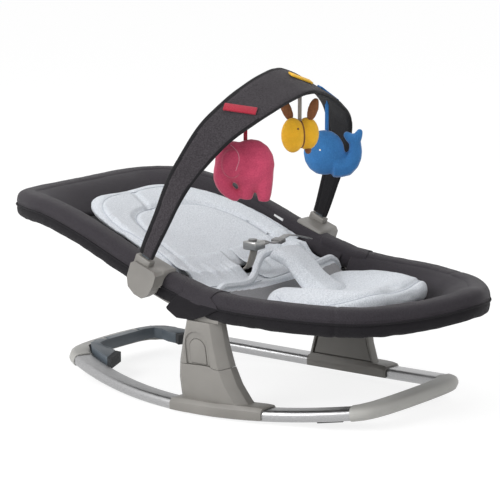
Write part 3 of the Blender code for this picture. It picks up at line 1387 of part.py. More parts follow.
def hangingStrap(name, top, reach, finish):
    """A short fabric strap from its stitch under the arch down into the toy."""
    rings = []
    for drop, width, thickness in ((0.0, TOY_STRAP_TIP, TOY_STRAP_TIP), (TOY_STRAP_TAPER, TOY_STRAP_WIDTH, TOY_STRAP_THICKNESS),
                                   (top.z - reach, TOY_STRAP_WIDTH, TOY_STRAP_THICKNESS)):
        outline = roundedBox(width, thickness, thickness / 4, 1)
        rings.append([top + Vector((u, v, -drop)) for u, v in outline])
    return loft(name, rings, finish)


def buildElephant(top):
    frame = toyFrame(ELEPHANT)
    place = frame @ Matrix.Translation((0.009, 0, 0.008))
    body = ellipsoid("elephant_body", Vector((0.037, 0.021, 0.040)), place, "pink_plush", segments=14, rings=8)
    for x, z, r in ((0.029, -0.040, 0.0115), (0.002, -0.037, 0.0115)):
        down = ((x, 0, 0.0), (x, 0, z * 0.6), (x, 0, z), (x, 0, z - 0.010))
        boolean(body, toyTube("leg", frame, down, r, (1.35, 1.2, 1.0, 0.75), cutter=True), "UNION")
    place = frame @ Matrix.Translation((-0.020, 0, 0.013))
    head = ellipsoid("elephant_head", Vector((0.028, 0.0215, 0.032)), place, "pink_plush", segments=14, rings=8)
    curl = ((-0.034, 0, 0.004), (-0.037, 0, -0.014), (-0.031, 0, -0.029), (-0.019, 0, -0.040), (-0.010, 0, -0.044))
    boolean(head, toyTube("trunk", frame, curl, 0.012, (1.25, 1.1, 0.95, 0.8, 0.6), cutter=True), "UNION")
    ears = []
    for side, y in (("right", -0.0195), ("left", 0.0195)):
        place = frame @ Matrix.Translation((-0.021, y, 0.012))
        ears.append(ellipsoid("elephant_ear_" + side, Vector((0.016, 0.0045, 0.023)), place, "pink_plush", segments=14, rings=8))
    clearOf(body, head, *ears)
    clearOf(head, *ears)
    strap = hangingStrap("elephant_strap", top, ELEPHANT[2] + 0.040, "pink_plush")
    clearOf(strap, body, head)
    return [body, head, *ears, strap]


def buildBee(top):
    frame = toyFrame(BEE)
    head = ellipsoid("bee_head", Vector((0.0185, 0.015, 0.028)), frame @ Matrix.Translation((-0.011, -0.006, 0)), "yellow_plush")
    body = ellipsoid("bee_body", Vector((0.019, 0.015, 0.026)), frame @ Matrix.Translation((0.012, 0.006, 0.001)), "yellow_plush")
    clearOf(body, head)
    wings = []
    for side, x, tilt in (("right", -0.021, -0.38), ("left", 0.021, 0.30)):
        place = frame @ Matrix.Translation((x, 0.0, 0.0405)) @ Matrix.Rotation(tilt, 4, "Y")
        radii = Vector((0.0085, 0.0035, 0.0200))
        wings.append(ellipsoid("bee_wing_" + side, radii, place, "brown_plush", segments=12, rings=8))
    for wing in wings:
        clearOf(wing, head, body)
    strap = hangingStrap("bee_strap", top, BEE[2] + 0.016, "webbing")
    clearOf(strap, head, body)
    return [head, body, *wings, strap]


def buildWhale(top):
    frame = toyFrame(WHALE)
    body = ellipsoid("whale_body", Vector((0.034, 0.021, 0.037)), frame @ Matrix.Translation((-0.004, 0, 0.002)), "blue_plush", segments=14, rings=8)
    curl = ((0.012, 0, -0.020), (0.032, 0, -0.020), (0.045, 0, -0.004), (0.047, 0, 0.014), (0.045, 0, 0.028))
    tail = toyTube("whale_tail", frame, curl, 0.015, (1.3, 1.15, 0.85, 0.65, 0.5), "blue_plush")
    for x, z in ((0.029, 0.034), (0.055, 0.040)):
        spread = ((0.045, 0, 0.020), ((x + 0.045) / 2, 0, 0.027), (x, 0, z))
        boolean(tail, toyTube("fluke", frame, spread, 0.010, (0.8, 0.8, 0.4), cutter=True), "UNION")
    clearOf(tail, body)
    strap = hangingStrap("whale_strap", top, WHALE[2] + 0.025, "blue_plush")
    clearOf(strap, body)
    return [body, tail, strap]


def buildToys():
    for build, toy in ((buildElephant, ELEPHANT), (buildBee, BEE), (buildWhale, WHALE)):
        top = strapTop(toy)
        print("toy hangs from", round(top.x, 5), round(top.y, 5), round(top.z, 5))
        for piece in build(top):
            largestBody(piece)
            setOrigin(piece, top)


def placeOrigins():
    """The backrest's pieces turn about the hinge axis."""
    for name in ("back_frame", "back_rim_right", "back_rim_left", "back_sling", "back_pad", "clip_right", "clip_left"):
        setOrigin(bpy.data.objects[name], (HINGE_X, 0, HINGE_Z))


def finish():
    """Keep only the pieces of the bouncer."""
    for leftover in list(cutterCollection.objects):
        bpy.data.objects.remove(leftover, do_unlink=True)


for step in (buildBase, buildFeet, buildPosts, buildSeatFrames, buildHinges, fitSeatToHinges, buildHingeArms,
             buildSlings, buildPads, buildToyBar, buildClips, buildStop, buildHarness, buildToys, placeOrigins,
             finish):
    step()
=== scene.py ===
# Baby bouncer in a plain studio: fabrics, pads, toys and finishes over the CAD frame.
import json
import math

import bmesh
import bpy
from mathutils import Matrix, Vector, noise
from mathutils.bvhtree import BVHTree

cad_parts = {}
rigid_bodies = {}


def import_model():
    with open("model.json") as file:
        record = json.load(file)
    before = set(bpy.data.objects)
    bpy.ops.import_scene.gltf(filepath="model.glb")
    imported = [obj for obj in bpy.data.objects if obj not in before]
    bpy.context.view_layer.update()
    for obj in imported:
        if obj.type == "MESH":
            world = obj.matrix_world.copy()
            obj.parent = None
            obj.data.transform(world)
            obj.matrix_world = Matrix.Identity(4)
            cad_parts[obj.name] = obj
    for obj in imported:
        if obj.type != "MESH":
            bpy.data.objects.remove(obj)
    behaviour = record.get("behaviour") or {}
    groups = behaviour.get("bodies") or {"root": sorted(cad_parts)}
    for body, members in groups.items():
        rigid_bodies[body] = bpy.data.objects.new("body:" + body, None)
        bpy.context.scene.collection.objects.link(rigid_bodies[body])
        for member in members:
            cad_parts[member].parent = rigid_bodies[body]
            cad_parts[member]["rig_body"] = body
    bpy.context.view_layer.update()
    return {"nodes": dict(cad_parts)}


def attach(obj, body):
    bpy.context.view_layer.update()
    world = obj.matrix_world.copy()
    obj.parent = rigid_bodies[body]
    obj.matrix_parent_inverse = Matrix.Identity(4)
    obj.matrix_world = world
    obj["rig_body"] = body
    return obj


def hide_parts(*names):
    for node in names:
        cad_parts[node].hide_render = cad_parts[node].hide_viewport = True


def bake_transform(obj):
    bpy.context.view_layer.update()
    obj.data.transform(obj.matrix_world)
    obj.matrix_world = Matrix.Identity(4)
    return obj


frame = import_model()
cadNodes = frame["nodes"]
scene = bpy.context.scene
zUp = Vector((0, 0, 1))


# camera: the photograph's angle
view = {"place": (2.402, -3.228, 1.015), "tilt": 78.96, "turn": 37.0, "lens": 182.95}
cameraData = bpy.data.cameras.new("camera")
cameraData.lens = view["lens"]
cameraData.sensor_width = 36.0
cameraData.clip_end = 40.0
cameraObject = bpy.data.objects.new("camera", cameraData)
cameraObject.location = view["place"]
cameraObject.rotation_euler = (math.radians(view["tilt"]), 0.0, math.radians(view["turn"]))
scene.collection.objects.link(cameraObject)
scene.camera = cameraObject
scene.view_settings.view_transform = "Standard"


# finishes

finish = {}  # every material by its name


def node(tree, kind, links=(), **values):
    # a node with its settings or socket values, and its links in
    made = tree.nodes.new(kind)
    for key, value in values.items():
        if hasattr(made, key):
            setattr(made, key, value)
        else:
            made.inputs[key.replace("_", " ")].default_value = value
    for source, target in links:
        tree.links.new(source, made.inputs[target])
    return made


def finishBase(name, roughness, metallic=0.0, stretch=(1, 1, 1), turn=(0, 0, 0)):
    # a new material, with object coordinates that can be stretched and turned
    made = bpy.data.materials.new(name)
    made.use_nodes = True
    finish[name] = made
    tree = made.node_tree
    shader = tree.nodes["Principled BSDF"].inputs
    shader["Roughness"].default_value = roughness
    shader["Metallic"].default_value = metallic
    coords = node(tree, "ShaderNodeTexCoord")
    mapping = node(tree, "ShaderNodeMapping", [(coords.outputs["Object"], "Vector")],
                   Scale=stretch, Rotation=[math.radians(a) for a in turn])
    return tree, shader, mapping.outputs["Vector"]


def speckled(tree, coords, scale, detail, roughness=0.5):
    made = node(tree, "ShaderNodeTexNoise", [(coords, "Vector")],
                Scale=scale, Detail=detail, Roughness=roughness)
    return made.outputs["Fac"]


def between(tree, value, low, high):
    made = node(tree, "ShaderNodeMapRange", [(value, "Value")], To_Min=low, To_Max=high)
    return made.outputs["Result"]


def bumped(tree, shader, height, strength, distance):
    made = node(tree, "ShaderNodeBump", [(height, "Height")], Strength=strength, Distance=distance)
    tree.links.new(made.outputs["Normal"], shader["Normal"])


def twoTone(tree, coords, scale, detail, dark, light, low=0.35, high=0.65):
    grain = speckled(tree, coords, scale, detail, 0.6)
    ramp = node(tree, "ShaderNodeValToRGB", [(grain, "Fac")])
    first, second = ramp.color_ramp.elements
    first.position, first.color = low, (*dark, 1)
    second.position, second.color = high, (*light, 1)
    return ramp.outputs["Color"]


def tinted(tree, colour, coords, scale, strength):
    # slow light and dark patches over a fabric, as handling and dye leave them
    patch = between(tree, speckled(tree, coords, scale, 2.0), 1.0 - strength, 1.0 + strength)
    mix = node(tree, "ShaderNodeMix", [(colour, 6), (patch, 7)],
               data_type="RGBA", blend_type="MULTIPLY", Factor=1.0)
    return mix.outputs[2]


cloth = {"roughness": 0.88, "patches": 14.0, "wander": 1.5, "threadRise": 0.0004,
         "sheenRoughness": 0.5, "specular": 0.2}


def wovenCloth(name, dark, light, grain=900.0, weave=620.0, bump=0.25, sheen=0.2,
               stretch=(1, 1, 1), turn=(0, 0, 0), patch=0.05):
    tree, shader, coords = finishBase(name, cloth["roughness"], 0.0, stretch, turn)
    colour = twoTone(tree, coords, grain, 3.0, dark, light)
    tree.links.new(tinted(tree, colour, coords, cloth["patches"], patch), shader["Base Color"])
    across, along, upright = [
        node(tree, "ShaderNodeTexWave", [(coords, "Vector")], Scale=weave,
             Distortion=cloth["wander"], bands_direction=axis).outputs["Fac"] for axis in "XYZ"]
    first = node(tree, "ShaderNodeMath", [(across, 0), (along, 1)], operation="ADD")
    both = node(tree, "ShaderNodeMath", [(first.outputs[0], 0), (upright, 1)], operation="ADD")
    bumped(tree, shader, both.outputs[0], bump, cloth["threadRise"])
    shader["Sheen Weight"].default_value = sheen
    shader["Sheen Roughness"].default_value = cloth["sheenRoughness"]
    shader["Specular IOR Level"].default_value = cloth["specular"]


pile = {"roughness": 0.92, "tufts": 420.0, "patches": 55.0, "patchStrength": 0.2,
        "hairs": 1500.0, "hairBump": 0.5, "hairRise": 0.0006, "sheen": 0.35, "sheenRoughness": 0.4}


def plush(name, dark, light):
    tree, shader, coords = finishBase(name, pile["roughness"])
    colour = twoTone(tree, coords, pile["tufts"], 4.0, dark, light, 0.25, 0.75)
    colour = tinted(tree, colour, coords, pile["patches"], pile["patchStrength"])
    tree.links.new(colour, shader["Base Color"])
    hairs = speckled(tree, coords, pile["hairs"], 2.0)
    bumped(tree, shader, hairs, pile["hairBump"], pile["hairRise"])
    shader["Sheen Weight"].default_value = pile["sheen"]
    shader["Sheen Roughness"].default_value = pile["sheenRoughness"]


plastic = {"clouds": 9.0, "sparks": 1300.0, "sparkRise": 0.0003, "handling": 30.0,
           "glossier": 0.06, "duller": 0.08}


def moulded(name, dark, light, roughness=0.45, grain=0.12):
    tree, shader, coords = finishBase(name, roughness)
    colour = twoTone(tree, coords, plastic["clouds"], 3.0, dark, light)
    tree.links.new(colour, shader["Base Color"])
    sparks = speckled(tree, coords, plastic["sparks"], 1.0)
    bumped(tree, shader, sparks, grain, plastic["sparkRise"])
    handled = between(tree, speckled(tree, coords, plastic["handling"], 4.0),
                      roughness - plastic["glossier"], roughness + plastic["duller"])
    tree.links.new(handled, shader["Roughness"])


metal = {"brushing": (6, 260, 260), "clouds": 4.0, "lines": 5.0, "lineBump": 0.03,
         "lineRise": 0.0002, "glossier": 0.08, "duller": 0.12}


def brushedMetal(name, dark, light, roughness=0.3):
    tree, shader, coords = finishBase(name, roughness, 1.0, metal["brushing"])
    colour = twoTone(tree, coords, metal["clouds"], 3.0, dark, light)
    tree.links.new(colour, shader["Base Color"])
    lines = speckled(tree, coords, metal["lines"], 3.0)
    worn = between(tree, lines, roughness - metal["glossier"], roughness + metal["duller"])
    tree.links.new(worn, shader["Roughness"])
    bumped(tree, shader, lines, metal["lineBump"], metal["lineRise"])


wovenCloth("shellTop", (0.022, 0.019, 0.023), (0.036, 0.032, 0.038),
           grain=700, bump=0.3, sheen=0.1, patch=0.08)
# the shell fabric darkened as painted shade, for the lower sides of the rims and hinge flaps, the
# slings, and the rims' piping and stitches
wovenCloth("shellPaintedShade", (0.006, 0.005, 0.007), (0.011, 0.01, 0.012),
           grain=700, bump=0.3, sheen=0.05)
wovenCloth("liner", (0.5, 0.53, 0.57), (0.72, 0.75, 0.79),
           grain=380, weave=520, bump=0.4, sheen=0.15,
           stretch=(1.0, 2.2, 1.0), turn=(0, 0, 28), patch=0.03)
wovenCloth("linerSeam", (0.4, 0.43, 0.48), (0.52, 0.55, 0.6), grain=500, bump=0.3)
wovenCloth("barTop", (0.022, 0.019, 0.022), (0.046, 0.04, 0.046),
           grain=420, bump=0.35, sheen=0.1, patch=0.14)
wovenCloth("binding", (0.006, 0.006, 0.007), (0.012, 0.011, 0.013),
           grain=900, bump=0.4, sheen=0.08)
wovenCloth("tape", (0.3, 0.28, 0.25), (0.44, 0.41, 0.37), grain=900, weave=900, bump=0.5)
wovenCloth("greyTape", (0.2, 0.2, 0.2), (0.36, 0.36, 0.36), grain=900, weave=900, bump=0.5)
plush("pink", (0.47, 0.04, 0.1), (0.62, 0.08, 0.16))
wovenCloth("pinkTape", (0.3, 0.012, 0.03), (0.42, 0.022, 0.048), bump=0.4)
plush("pinkSeam", (0.62, 0.22, 0.3), (0.7, 0.3, 0.38))
plush("yellow", (0.9, 0.45, 0.02), (0.99, 0.58, 0.03))
wovenCloth("yellowTape", (0.8, 0.42, 0.02), (0.95, 0.58, 0.05), bump=0.4)
plush("blue", (0.026, 0.15, 0.4), (0.042, 0.21, 0.51))
wovenCloth("blueTape", (0.02, 0.13, 0.38), (0.03, 0.19, 0.5), bump=0.4)
plush("brown", (0.17, 0.062, 0.022), (0.28, 0.11, 0.04))
plush("white", (0.8, 0.8, 0.78), (0.9, 0.9, 0.88))
moulded("bow", (0.365, 0.36, 0.34), (0.415, 0.41, 0.39))
moulded("post", (0.19, 0.181, 0.167), (0.222, 0.212, 0.196))
# clip: a darker grey than the bow, partly the clips' own grey and partly painted shade
moulded("clip", (0.17, 0.162, 0.15), (0.205, 0.196, 0.182))
moulded("postInner", (0.175, 0.166, 0.153), (0.2, 0.191, 0.176), 0.5)
moulded("stop", (0.07, 0.088, 0.105), (0.092, 0.112, 0.132), 0.42)
moulded("rubber", (0.02, 0.022, 0.024), (0.032, 0.034, 0.037), 0.75, 0.25)
brushedMetal("buckle", (0.3, 0.3, 0.295), (0.4, 0.4, 0.39), 0.28)
moulded("buckleDark", (0.1, 0.1, 0.1), (0.16, 0.16, 0.16), 0.35)
brushedMetal("aluminium", (0.36, 0.36, 0.365), (0.45, 0.45, 0.455), 0.36)
brushedMetal("steel", (0.5, 0.5, 0.5), (0.62, 0.62, 0.62), 0.35)
wovenCloth("tag", (0.6, 0.61, 0.62), (0.7, 0.71, 0.72), grain=900, weave=900, bump=0.3)
# the liner's grey darkened as painted shade, for the seat where the leg openings begin
wovenCloth("linerPaintedShade", (0.2, 0.2, 0.21), (0.27, 0.27, 0.28), grain=700)
print("finishes made")


# piece helpers

def addPiece(name, mesh, finishes, body=None):
    obj = bpy.data.objects.new(name, mesh)
    mesh.name = name
    scene.collection.objects.link(obj)
    for key in finishes:
        mesh.materials.append(finish[key])
    mesh.shade_smooth()
    if body:
        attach(obj, body)
    return obj


def bodyOf(nodeName):
    return cadNodes[nodeName]["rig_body"]


def mergedCopy(nodeName, distance=2e-5):
    bm = bmesh.new()
    bm.from_mesh(cadNodes[nodeName].data)
    bmesh.ops.remove_doubles(bm, verts=bm.verts, dist=distance)
    return bm


def meshOf(bm, name):
    mesh = bpy.data.meshes.new(name)
    bm.to_mesh(mesh)
    bm.free()
    return mesh


def applied(obj):
    # bake an object's modifiers into its own mesh
    graph = bpy.context.evaluated_depsgraph_get()
    mesh = bpy.data.meshes.new_from_object(obj.evaluated_get(graph))
    obj.modifiers.clear()
    old = obj.data
    obj.data = mesh
    bpy.data.meshes.remove(old)
    return obj


def smoothSteps(points, steps):
    # a smooth curve through the points
    points = [Vector(p) for p in points]
    ends = [2 * points[0] - points[1]] + points + [2 * points[-1] - points[-2]]
    path = []
    for a, b, c, d in zip(ends, ends[1:], ends[2:], ends[3:]):
        for i in range(steps):
            t = i / steps
            path.append(0.5 * (2 * b + (c - a) * t + (2 * a - 5 * b + 4 * c - d) * t * t
                               + (3 * b - a - 3 * c + d) * t ** 3))
    path.append(points[-1])
    return path


def evenly(path, spacing):
    # the same path with points at one even distance
    lengths = [0.0]
    for a, b in zip(path, path[1:]):
        lengths.append(lengths[-1] + (b - a).length)
    count = max(2, round(lengths[-1] / spacing))
    result = []
    k = 0
    for i in range(count + 1):
        want = lengths[-1] * i / count
        while k < len(path) - 2 and lengths[k + 1] < want:
            k += 1
        span = max(lengths[k + 1] - lengths[k], 1e-9)
        result.append(path[k].lerp(path[k + 1], (want - lengths[k]) / span))
    return result


def reading(x, table):
    # the value at x, straight between the table's rows
    if x <= table[0][0]:
        return table[0][1]
    for (x0, v0), (x1, v1) in zip(table, table[1:]):
        if x <= x1:
            t = (x - x0) / (x1 - x0)
            return v0 + (v1 - v0) * t
    return table[-1][1]


def squareOval(halfWidth, halfHeight, power, angles):
    # points of an oval that fills its corners more as the power grows
    outline = []
    for angle in angles:
        c, s = math.cos(angle), math.sin(angle)
        outline.append((halfWidth * math.copysign(abs(c) ** (2 / power), c),
                        halfHeight * math.copysign(abs(s) ** (2 / power), s)))
    return outline


def placed(obj, *nodeNames):
    # rides with the pieces that it takes the place of
    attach(obj, bodyOf(nodeNames[0]))
    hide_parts(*nodeNames)


def skin(rings, slotOf):
    # faces between like rings, with capped ends
    bm = bmesh.new()
    loops = [[bm.verts.new(p) for p in ring] for ring in rings]
    count = len(loops[0])
    for k, (lower, upper) in enumerate(zip(loops, loops[1:])):
        for i in range(count):
            j = (i + 1) % count
            face = bm.faces.new((lower[i], lower[j], upper[j], upper[i]))
            face.material_index = slotOf(k, i)
    bm.faces.new(reversed(loops[0]))
    bm.faces.new(loops[-1])
    bmesh.ops.recalc_face_normals(bm, faces=bm.faces)
    return bm


def sharpEdges(obj, angle=35.0):
    obj.data.shade_smooth()
    obj.data.set_sharp_from_angle(angle=math.radians(angle))
    return obj


# node trees for what follows a path

def newTree(name, sizes):
    # takes a path of edges, some sizes and a finish
    tree = bpy.data.node_groups.new(name, "GeometryNodeTree")
    addSocket = tree.interface.new_socket
    addSocket("Path", in_out="INPUT", socket_type="NodeSocketGeometry")
    for label, value in sizes.items():
        addSocket(label, in_out="INPUT", socket_type="NodeSocketFloat").default_value = value
    addSocket("Finish", in_out="INPUT", socket_type="NodeSocketMaterial")
    addSocket("Made", in_out="OUTPUT", socket_type="NodeSocketGeometry")
    given = node(tree, "NodeGroupInput").outputs
    line = node(tree, "GeometryNodeMeshToCurve", [(given["Path"], "Mesh")])
    return tree, given, line.outputs[0]


def endTree(tree, given, made):
    real = node(tree, "GeometryNodeRealizeInstances", [(made, 0)])
    dressed = node(tree, "GeometryNodeSetMaterial",
                   [(real.outputs[0], "Geometry"), (given["Finish"], "Material")])
    node(tree, "NodeGroupOutput", [(dressed.outputs[0], "Made")])
    return tree


def swept(tree, given, line, profile):
    sweep = node(tree, "GeometryNodeCurveToMesh",
                 [(line, "Curve"), (profile, "Profile Curve")], Fill_Caps=True)
    return endTree(tree, given, sweep.outputs[0])


def stitchTree():
    tree, given, line = newTree(
        "stitchRow", {"Spacing": 0.005, "Length": 0.0034, "Thickness": 0.0004})
    even = node(tree, "GeometryNodeResampleCurve",
                [(line, "Curve"), (given["Spacing"], "Length")], mode="LENGTH")
    thread = node(tree, "GeometryNodeMeshUVSphere", Segments=6, Rings=4, Radius=0.5)
    tangent = node(tree, "GeometryNodeInputTangent")
    turn = node(tree, "FunctionNodeAlignRotationToVector",
                [(tangent.outputs[0], "Vector")], axis="X")
    size = node(tree, "ShaderNodeCombineXYZ",
                [(given["Length"], "X"), (given["Thickness"], "Y"), (given["Thickness"], "Z")])
    place = node(tree, "GeometryNodeInstanceOnPoints",
                 [(even.outputs[0], "Points"), (thread.outputs["Mesh"], "Instance"),
                  (turn.outputs[0], "Rotation"), (size.outputs[0], "Scale")])
    return endTree(tree, given, place.outputs[0])


def pipingTree():
    tree, given, line = newTree("pipingRun", {"Radius": 0.0015})
    circle = node(tree, "GeometryNodeCurvePrimitiveCircle",
                  [(given["Radius"], "Radius")], Resolution=8)
    return swept(tree, given, line, circle.outputs[0])


def railTree():
    tree, given, line = newTree(
        "flatOvalRail", {"Width": 0.035, "Height": 0.018, "Corner": 0.0075})
    upright = node(tree, "GeometryNodeSetCurveNormal", [(line, "Curve")], mode="Z_UP")
    outline = node(tree, "GeometryNodeCurvePrimitiveQuadrilateral",
                   [(given["Width"], "Width"), (given["Height"], "Height")])
    rounded = node(tree, "GeometryNodeFilletCurve",
                   [(outline.outputs[0], "Curve"), (given["Corner"], "Radius")],
                   mode="POLY", Count=6)
    return swept(tree, given, upright.outputs[0], rounded.outputs[0])


def runTree(tree, name, lines, key, body, **sizes):
    # lays a tree along lines of points, then keeps its result as a plain mesh
    mesh = bpy.data.meshes.new(name)
    points = []
    edges = []
    for line in lines:
        edges += [(len(points) + i, len(points) + i + 1) for i in range(len(line) - 1)]
        points += [tuple(p) for p in line]
    mesh.from_pydata(points, edges, [])
    obj = bpy.data.objects.new(name, mesh)
    scene.collection.objects.link(obj)
    modifier = obj.modifiers.new(name, "NODES")
    modifier.node_group = tree
    sizes["Finish"] = finish[key]
    for socket in tree.interface.items_tree:
        if socket.in_out == "INPUT" and socket.name in sizes:
            modifier[socket.identifier] = sizes[socket.name]
    applied(obj)
    bm = bmesh.new()
    bm.from_mesh(obj.data)
    bmesh.ops.remove_doubles(bm, verts=bm.verts, dist=1e-7)
    bmesh.ops.recalc_face_normals(bm, faces=bm.faces)
    bm.to_mesh(obj.data)
    bm.free()
    sharpEdges(obj, 40.0)
    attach(obj, body)
    return obj


stitches = stitchTree()
piping = pipingTree()
rail = railTree()


# rigid pieces: the CAD shape with merged points, soft edges and its finish

rigidFinish = {
    "rear_bow": "bow", "front_bow": "bow", "foot_front_left": "rubber",
    "foot_front_right": "rubber", "foot_rear_left": "rubber", "foot_rear_right": "rubber",
    "post_lower_left": "post", "post_lower_right": "post", "post_upper_left": "post",
    "post_upper_right": "post", "post_inner_left": "postInner", "post_inner_right": "postInner",
    "hinge_fixed_left": "post", "hinge_fixed_right": "post", "hinge_moving_left": "clip",
    "hinge_moving_right": "clip", "release_button_left": "post", "release_button_right": "post",
    "rocking_stop": "stop", "stop_tip_left": "rubber", "stop_tip_right": "rubber",
    "clip_left": "clip", "clip_right": "clip", "buckle_body": "buckle",
    "buckle_button": "buckleDark", "buckle_tongue": "buckle", "strap_adjuster": "buckleDark",
    "leg_frame": "steel", "back_frame": "steel", "toy_bar_core": "stop",
}
edgeRounding = {
    "post_lower_left": 0.0012, "post_lower_right": 0.0012, "post_upper_left": 0.001,
    "post_upper_right": 0.001, "release_button_left": 0.0008, "release_button_right": 0.0008,
    "rocking_stop": 0.0012,
}
softening = {"flat": 0.6, "segments": 2, "sharp": 32}


def dressRigid(nodeName, key):
    bm = mergedCopy(nodeName)
    bmesh.ops.dissolve_limit(bm, angle_limit=math.radians(softening["flat"]),
                             verts=bm.verts, edges=bm.edges)
    obj = addPiece(nodeName + "_finished", meshOf(bm, nodeName), [key])
    if nodeName in edgeRounding:
        bevel = obj.modifiers.new("edges", "BEVEL")
        bevel.width = edgeRounding[nodeName]
        bevel.segments = softening["segments"]
        bevel.limit_method = "ANGLE"
        bevel.angle_limit = math.radians(softening["sharp"])
        applied(obj)
    sharpEdges(obj)
    placed(obj, nodeName)


for nodeName, key in rigidFinish.items():
    dressRigid(nodeName, key)

# each runner is flat in the middle, curves up to both ends and draws in
runner = {"radius": 1.95, "flat": 0.02, "height": 0.018, "width": 0.035, "corner": 0.0075,
          "track": 0.186, "bow": 0.82, "rear": -0.285, "front": 0.262, "steps": 120}
for side, nodeName in ((-1, "runner_right"), (1, "runner_left")):
    line = []
    for i in range(runner["steps"] + 1):
        x = runner["rear"] + (runner["front"] - runner["rear"]) * i / runner["steps"]
        y = runner["track"] - runner["bow"] * x * x
        lift = max(x * x - runner["flat"] ** 2, 0.0) / (2 * runner["radius"])
        line.append(Vector((x, side * y, lift + runner["height"] / 2)))
    made = runTree(rail, nodeName + "_rail", [line], "aluminium", "fixed",
                   Width=runner["width"], Height=runner["height"], Corner=runner["corner"])
    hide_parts(nodeName)
print("rigid pieces dressed")


# padded pieces: remeshed, filled with air as cloth, then subdivided

padForms = {
    # x, half width, edge height, middle height, thickness
    "back_pad": {"belly": 0.35, "wide": 1.04, "rows": (
        (-0.306, 0.052, 0.3, 0.3, 0.016), (-0.3, 0.082, 0.303, 0.301, 0.022),
        (-0.284, 0.112, 0.306, 0.298, 0.026), (-0.256, 0.14, 0.304, 0.288, 0.026),
        (-0.225, 0.16, 0.297, 0.276, 0.024), (-0.185, 0.173, 0.284, 0.264, 0.022),
        (-0.145, 0.179, 0.27, 0.249, 0.022), (-0.105, 0.183, 0.256, 0.23, 0.022),
        (-0.07, 0.186, 0.243, 0.211, 0.022), (-0.038, 0.188, 0.232, 0.194, 0.02))},
    "seat_pad": {"belly": 0.5, "wide": 1.0, "rows": (
        (-0.046, 0.17, 0.207, 0.192, 0.01), (-0.04, 0.173, 0.206, 0.189, 0.012),
        (-0.028, 0.174, 0.204, 0.184, 0.014), (-0.012, 0.175, 0.202, 0.177, 0.014),
        (0.006, 0.175, 0.202, 0.18, 0.016), (0.02, 0.175, 0.203, 0.187, 0.02),
        (0.032, 0.174, 0.2, 0.184, 0.018), (0.046, 0.172, 0.184, 0.164, 0.012),
        (0.066, 0.168, 0.172, 0.156, 0.012), (0.086, 0.166, 0.17, 0.154, 0.012),
        (0.098, 0.162, 0.168, 0.153, 0.01))},
    "foot_cushion": {"belly": 0.5, "wide": 1.0, "rows": (
        (0.062, 0.07, 0.186, 0.184, 0.014), (0.07, 0.108, 0.19, 0.19, 0.03),
        (0.092, 0.134, 0.194, 0.192, 0.044), (0.125, 0.144, 0.197, 0.193, 0.048),
        (0.16, 0.145, 0.201, 0.196, 0.05), (0.195, 0.14, 0.204, 0.199, 0.048),
        (0.228, 0.127, 0.205, 0.201, 0.046), (0.255, 0.105, 0.206, 0.203, 0.042),
        (0.274, 0.072, 0.204, 0.203, 0.032), (0.28, 0.045, 0.201, 0.2, 0.02))},
    "crotch_pad": {"belly": 0.5, "wide": 1.0, "rows": (
        (0.018, 0.02, 0.224, 0.226, 0.012), (0.026, 0.03, 0.234, 0.238, 0.018),
        (0.044, 0.036, 0.239, 0.245, 0.022), (0.062, 0.039, 0.232, 0.238, 0.022),
        (0.082, 0.041, 0.216, 0.222, 0.022), (0.102, 0.043, 0.2, 0.206, 0.022),
        (0.122, 0.045, 0.188, 0.193, 0.02), (0.142, 0.045, 0.182, 0.186, 0.018),
        (0.158, 0.04, 0.18, 0.182, 0.012))},
}


def padForm(form, columns=10, crown=2.6):
    bm = bmesh.new()
    top = []
    bottom = []
    last = len(form["rows"]) - 1
    for s, (x, half, edgeZ, middleZ, thick) in enumerate(form["rows"]):
        topRow = []
        bottomRow = []
        for i in range(columns + 1):
            t = 2 * i / columns - 1
            y = half * form["wide"] * t
            z = edgeZ + (middleZ - edgeZ) * (1 - abs(t) ** crown)
            if i in (0, columns) or s in (0, last):
                vert = bm.verts.new((x, y, z - thick * form["belly"]))
                topRow.append(vert)
                bottomRow.append(vert)
            else:
                topRow.append(bm.verts.new((x, y, z)))
                bottomRow.append(bm.verts.new((x, y, z - thick)))
        top.append(topRow)
        bottom.append(bottomRow)
    for grid, flip in ((top, False), (bottom, True)):
        for lower, upper in zip(grid, grid[1:]):
            for i in range(columns):
                corners = (lower[i], upper[i], upper[i + 1], lower[i + 1])
                bm.faces.new(corners if flip else reversed(corners))
    bmesh.ops.recalc_face_normals(bm, faces=bm.faces)
    return bm


def remeshed(nodeNames, name, key, voxel, shrink=0.0, smoothing=4, grow=0.0, form=None):
    # one closed skin over one or more CAD pieces, or over a form of its own
    joined = padForm(form) if form else bmesh.new()
    for nodeName in nodeNames if not form else ():
        bm = mergedCopy(nodeName)
        bm.normal_update()
        for vert in bm.verts:
            vert.co += vert.normal * grow
        joined.from_mesh(meshOf(bm, "part of " + name))
    obj = addPiece(name, meshOf(joined, name), [key])
    if form:
        soft = obj.modifiers.new("rounded", "SUBSURF")
        soft.levels = 2
    remesh = obj.modifiers.new("voxels", "REMESH")
    remesh.mode = "VOXEL"
    remesh.voxel_size = voxel
    applied(obj)
    bm = bmesh.new()
    bm.from_mesh(obj.data)
    for step in range(smoothing):
        bmesh.ops.smooth_vert(bm, verts=bm.verts, factor=0.5,
                              use_axis_x=True, use_axis_y=True, use_axis_z=True)
    bm.normal_update()
    if shrink:
        for vert in bm.verts:
            vert.co -= vert.normal * shrink
    bm.to_mesh(obj.data)
    bm.free()
    if not obj.data.materials:
        obj.data.materials.append(finish[key])
    return obj


def treeOf(mesh):
    return BVHTree.FromPolygons([v.co for v in mesh.vertices],
                                [tuple(p.vertices) for p in mesh.polygons])


def topOf(tree, x, y):
    # where a drop from above every piece first lands
    return tree.ray_cast(Vector((x, y, 0.6)), -zUp)[0]


slingTrees = {name: treeOf(cadNodes[name].data) for name in ("back_sling", "leg_sling")}


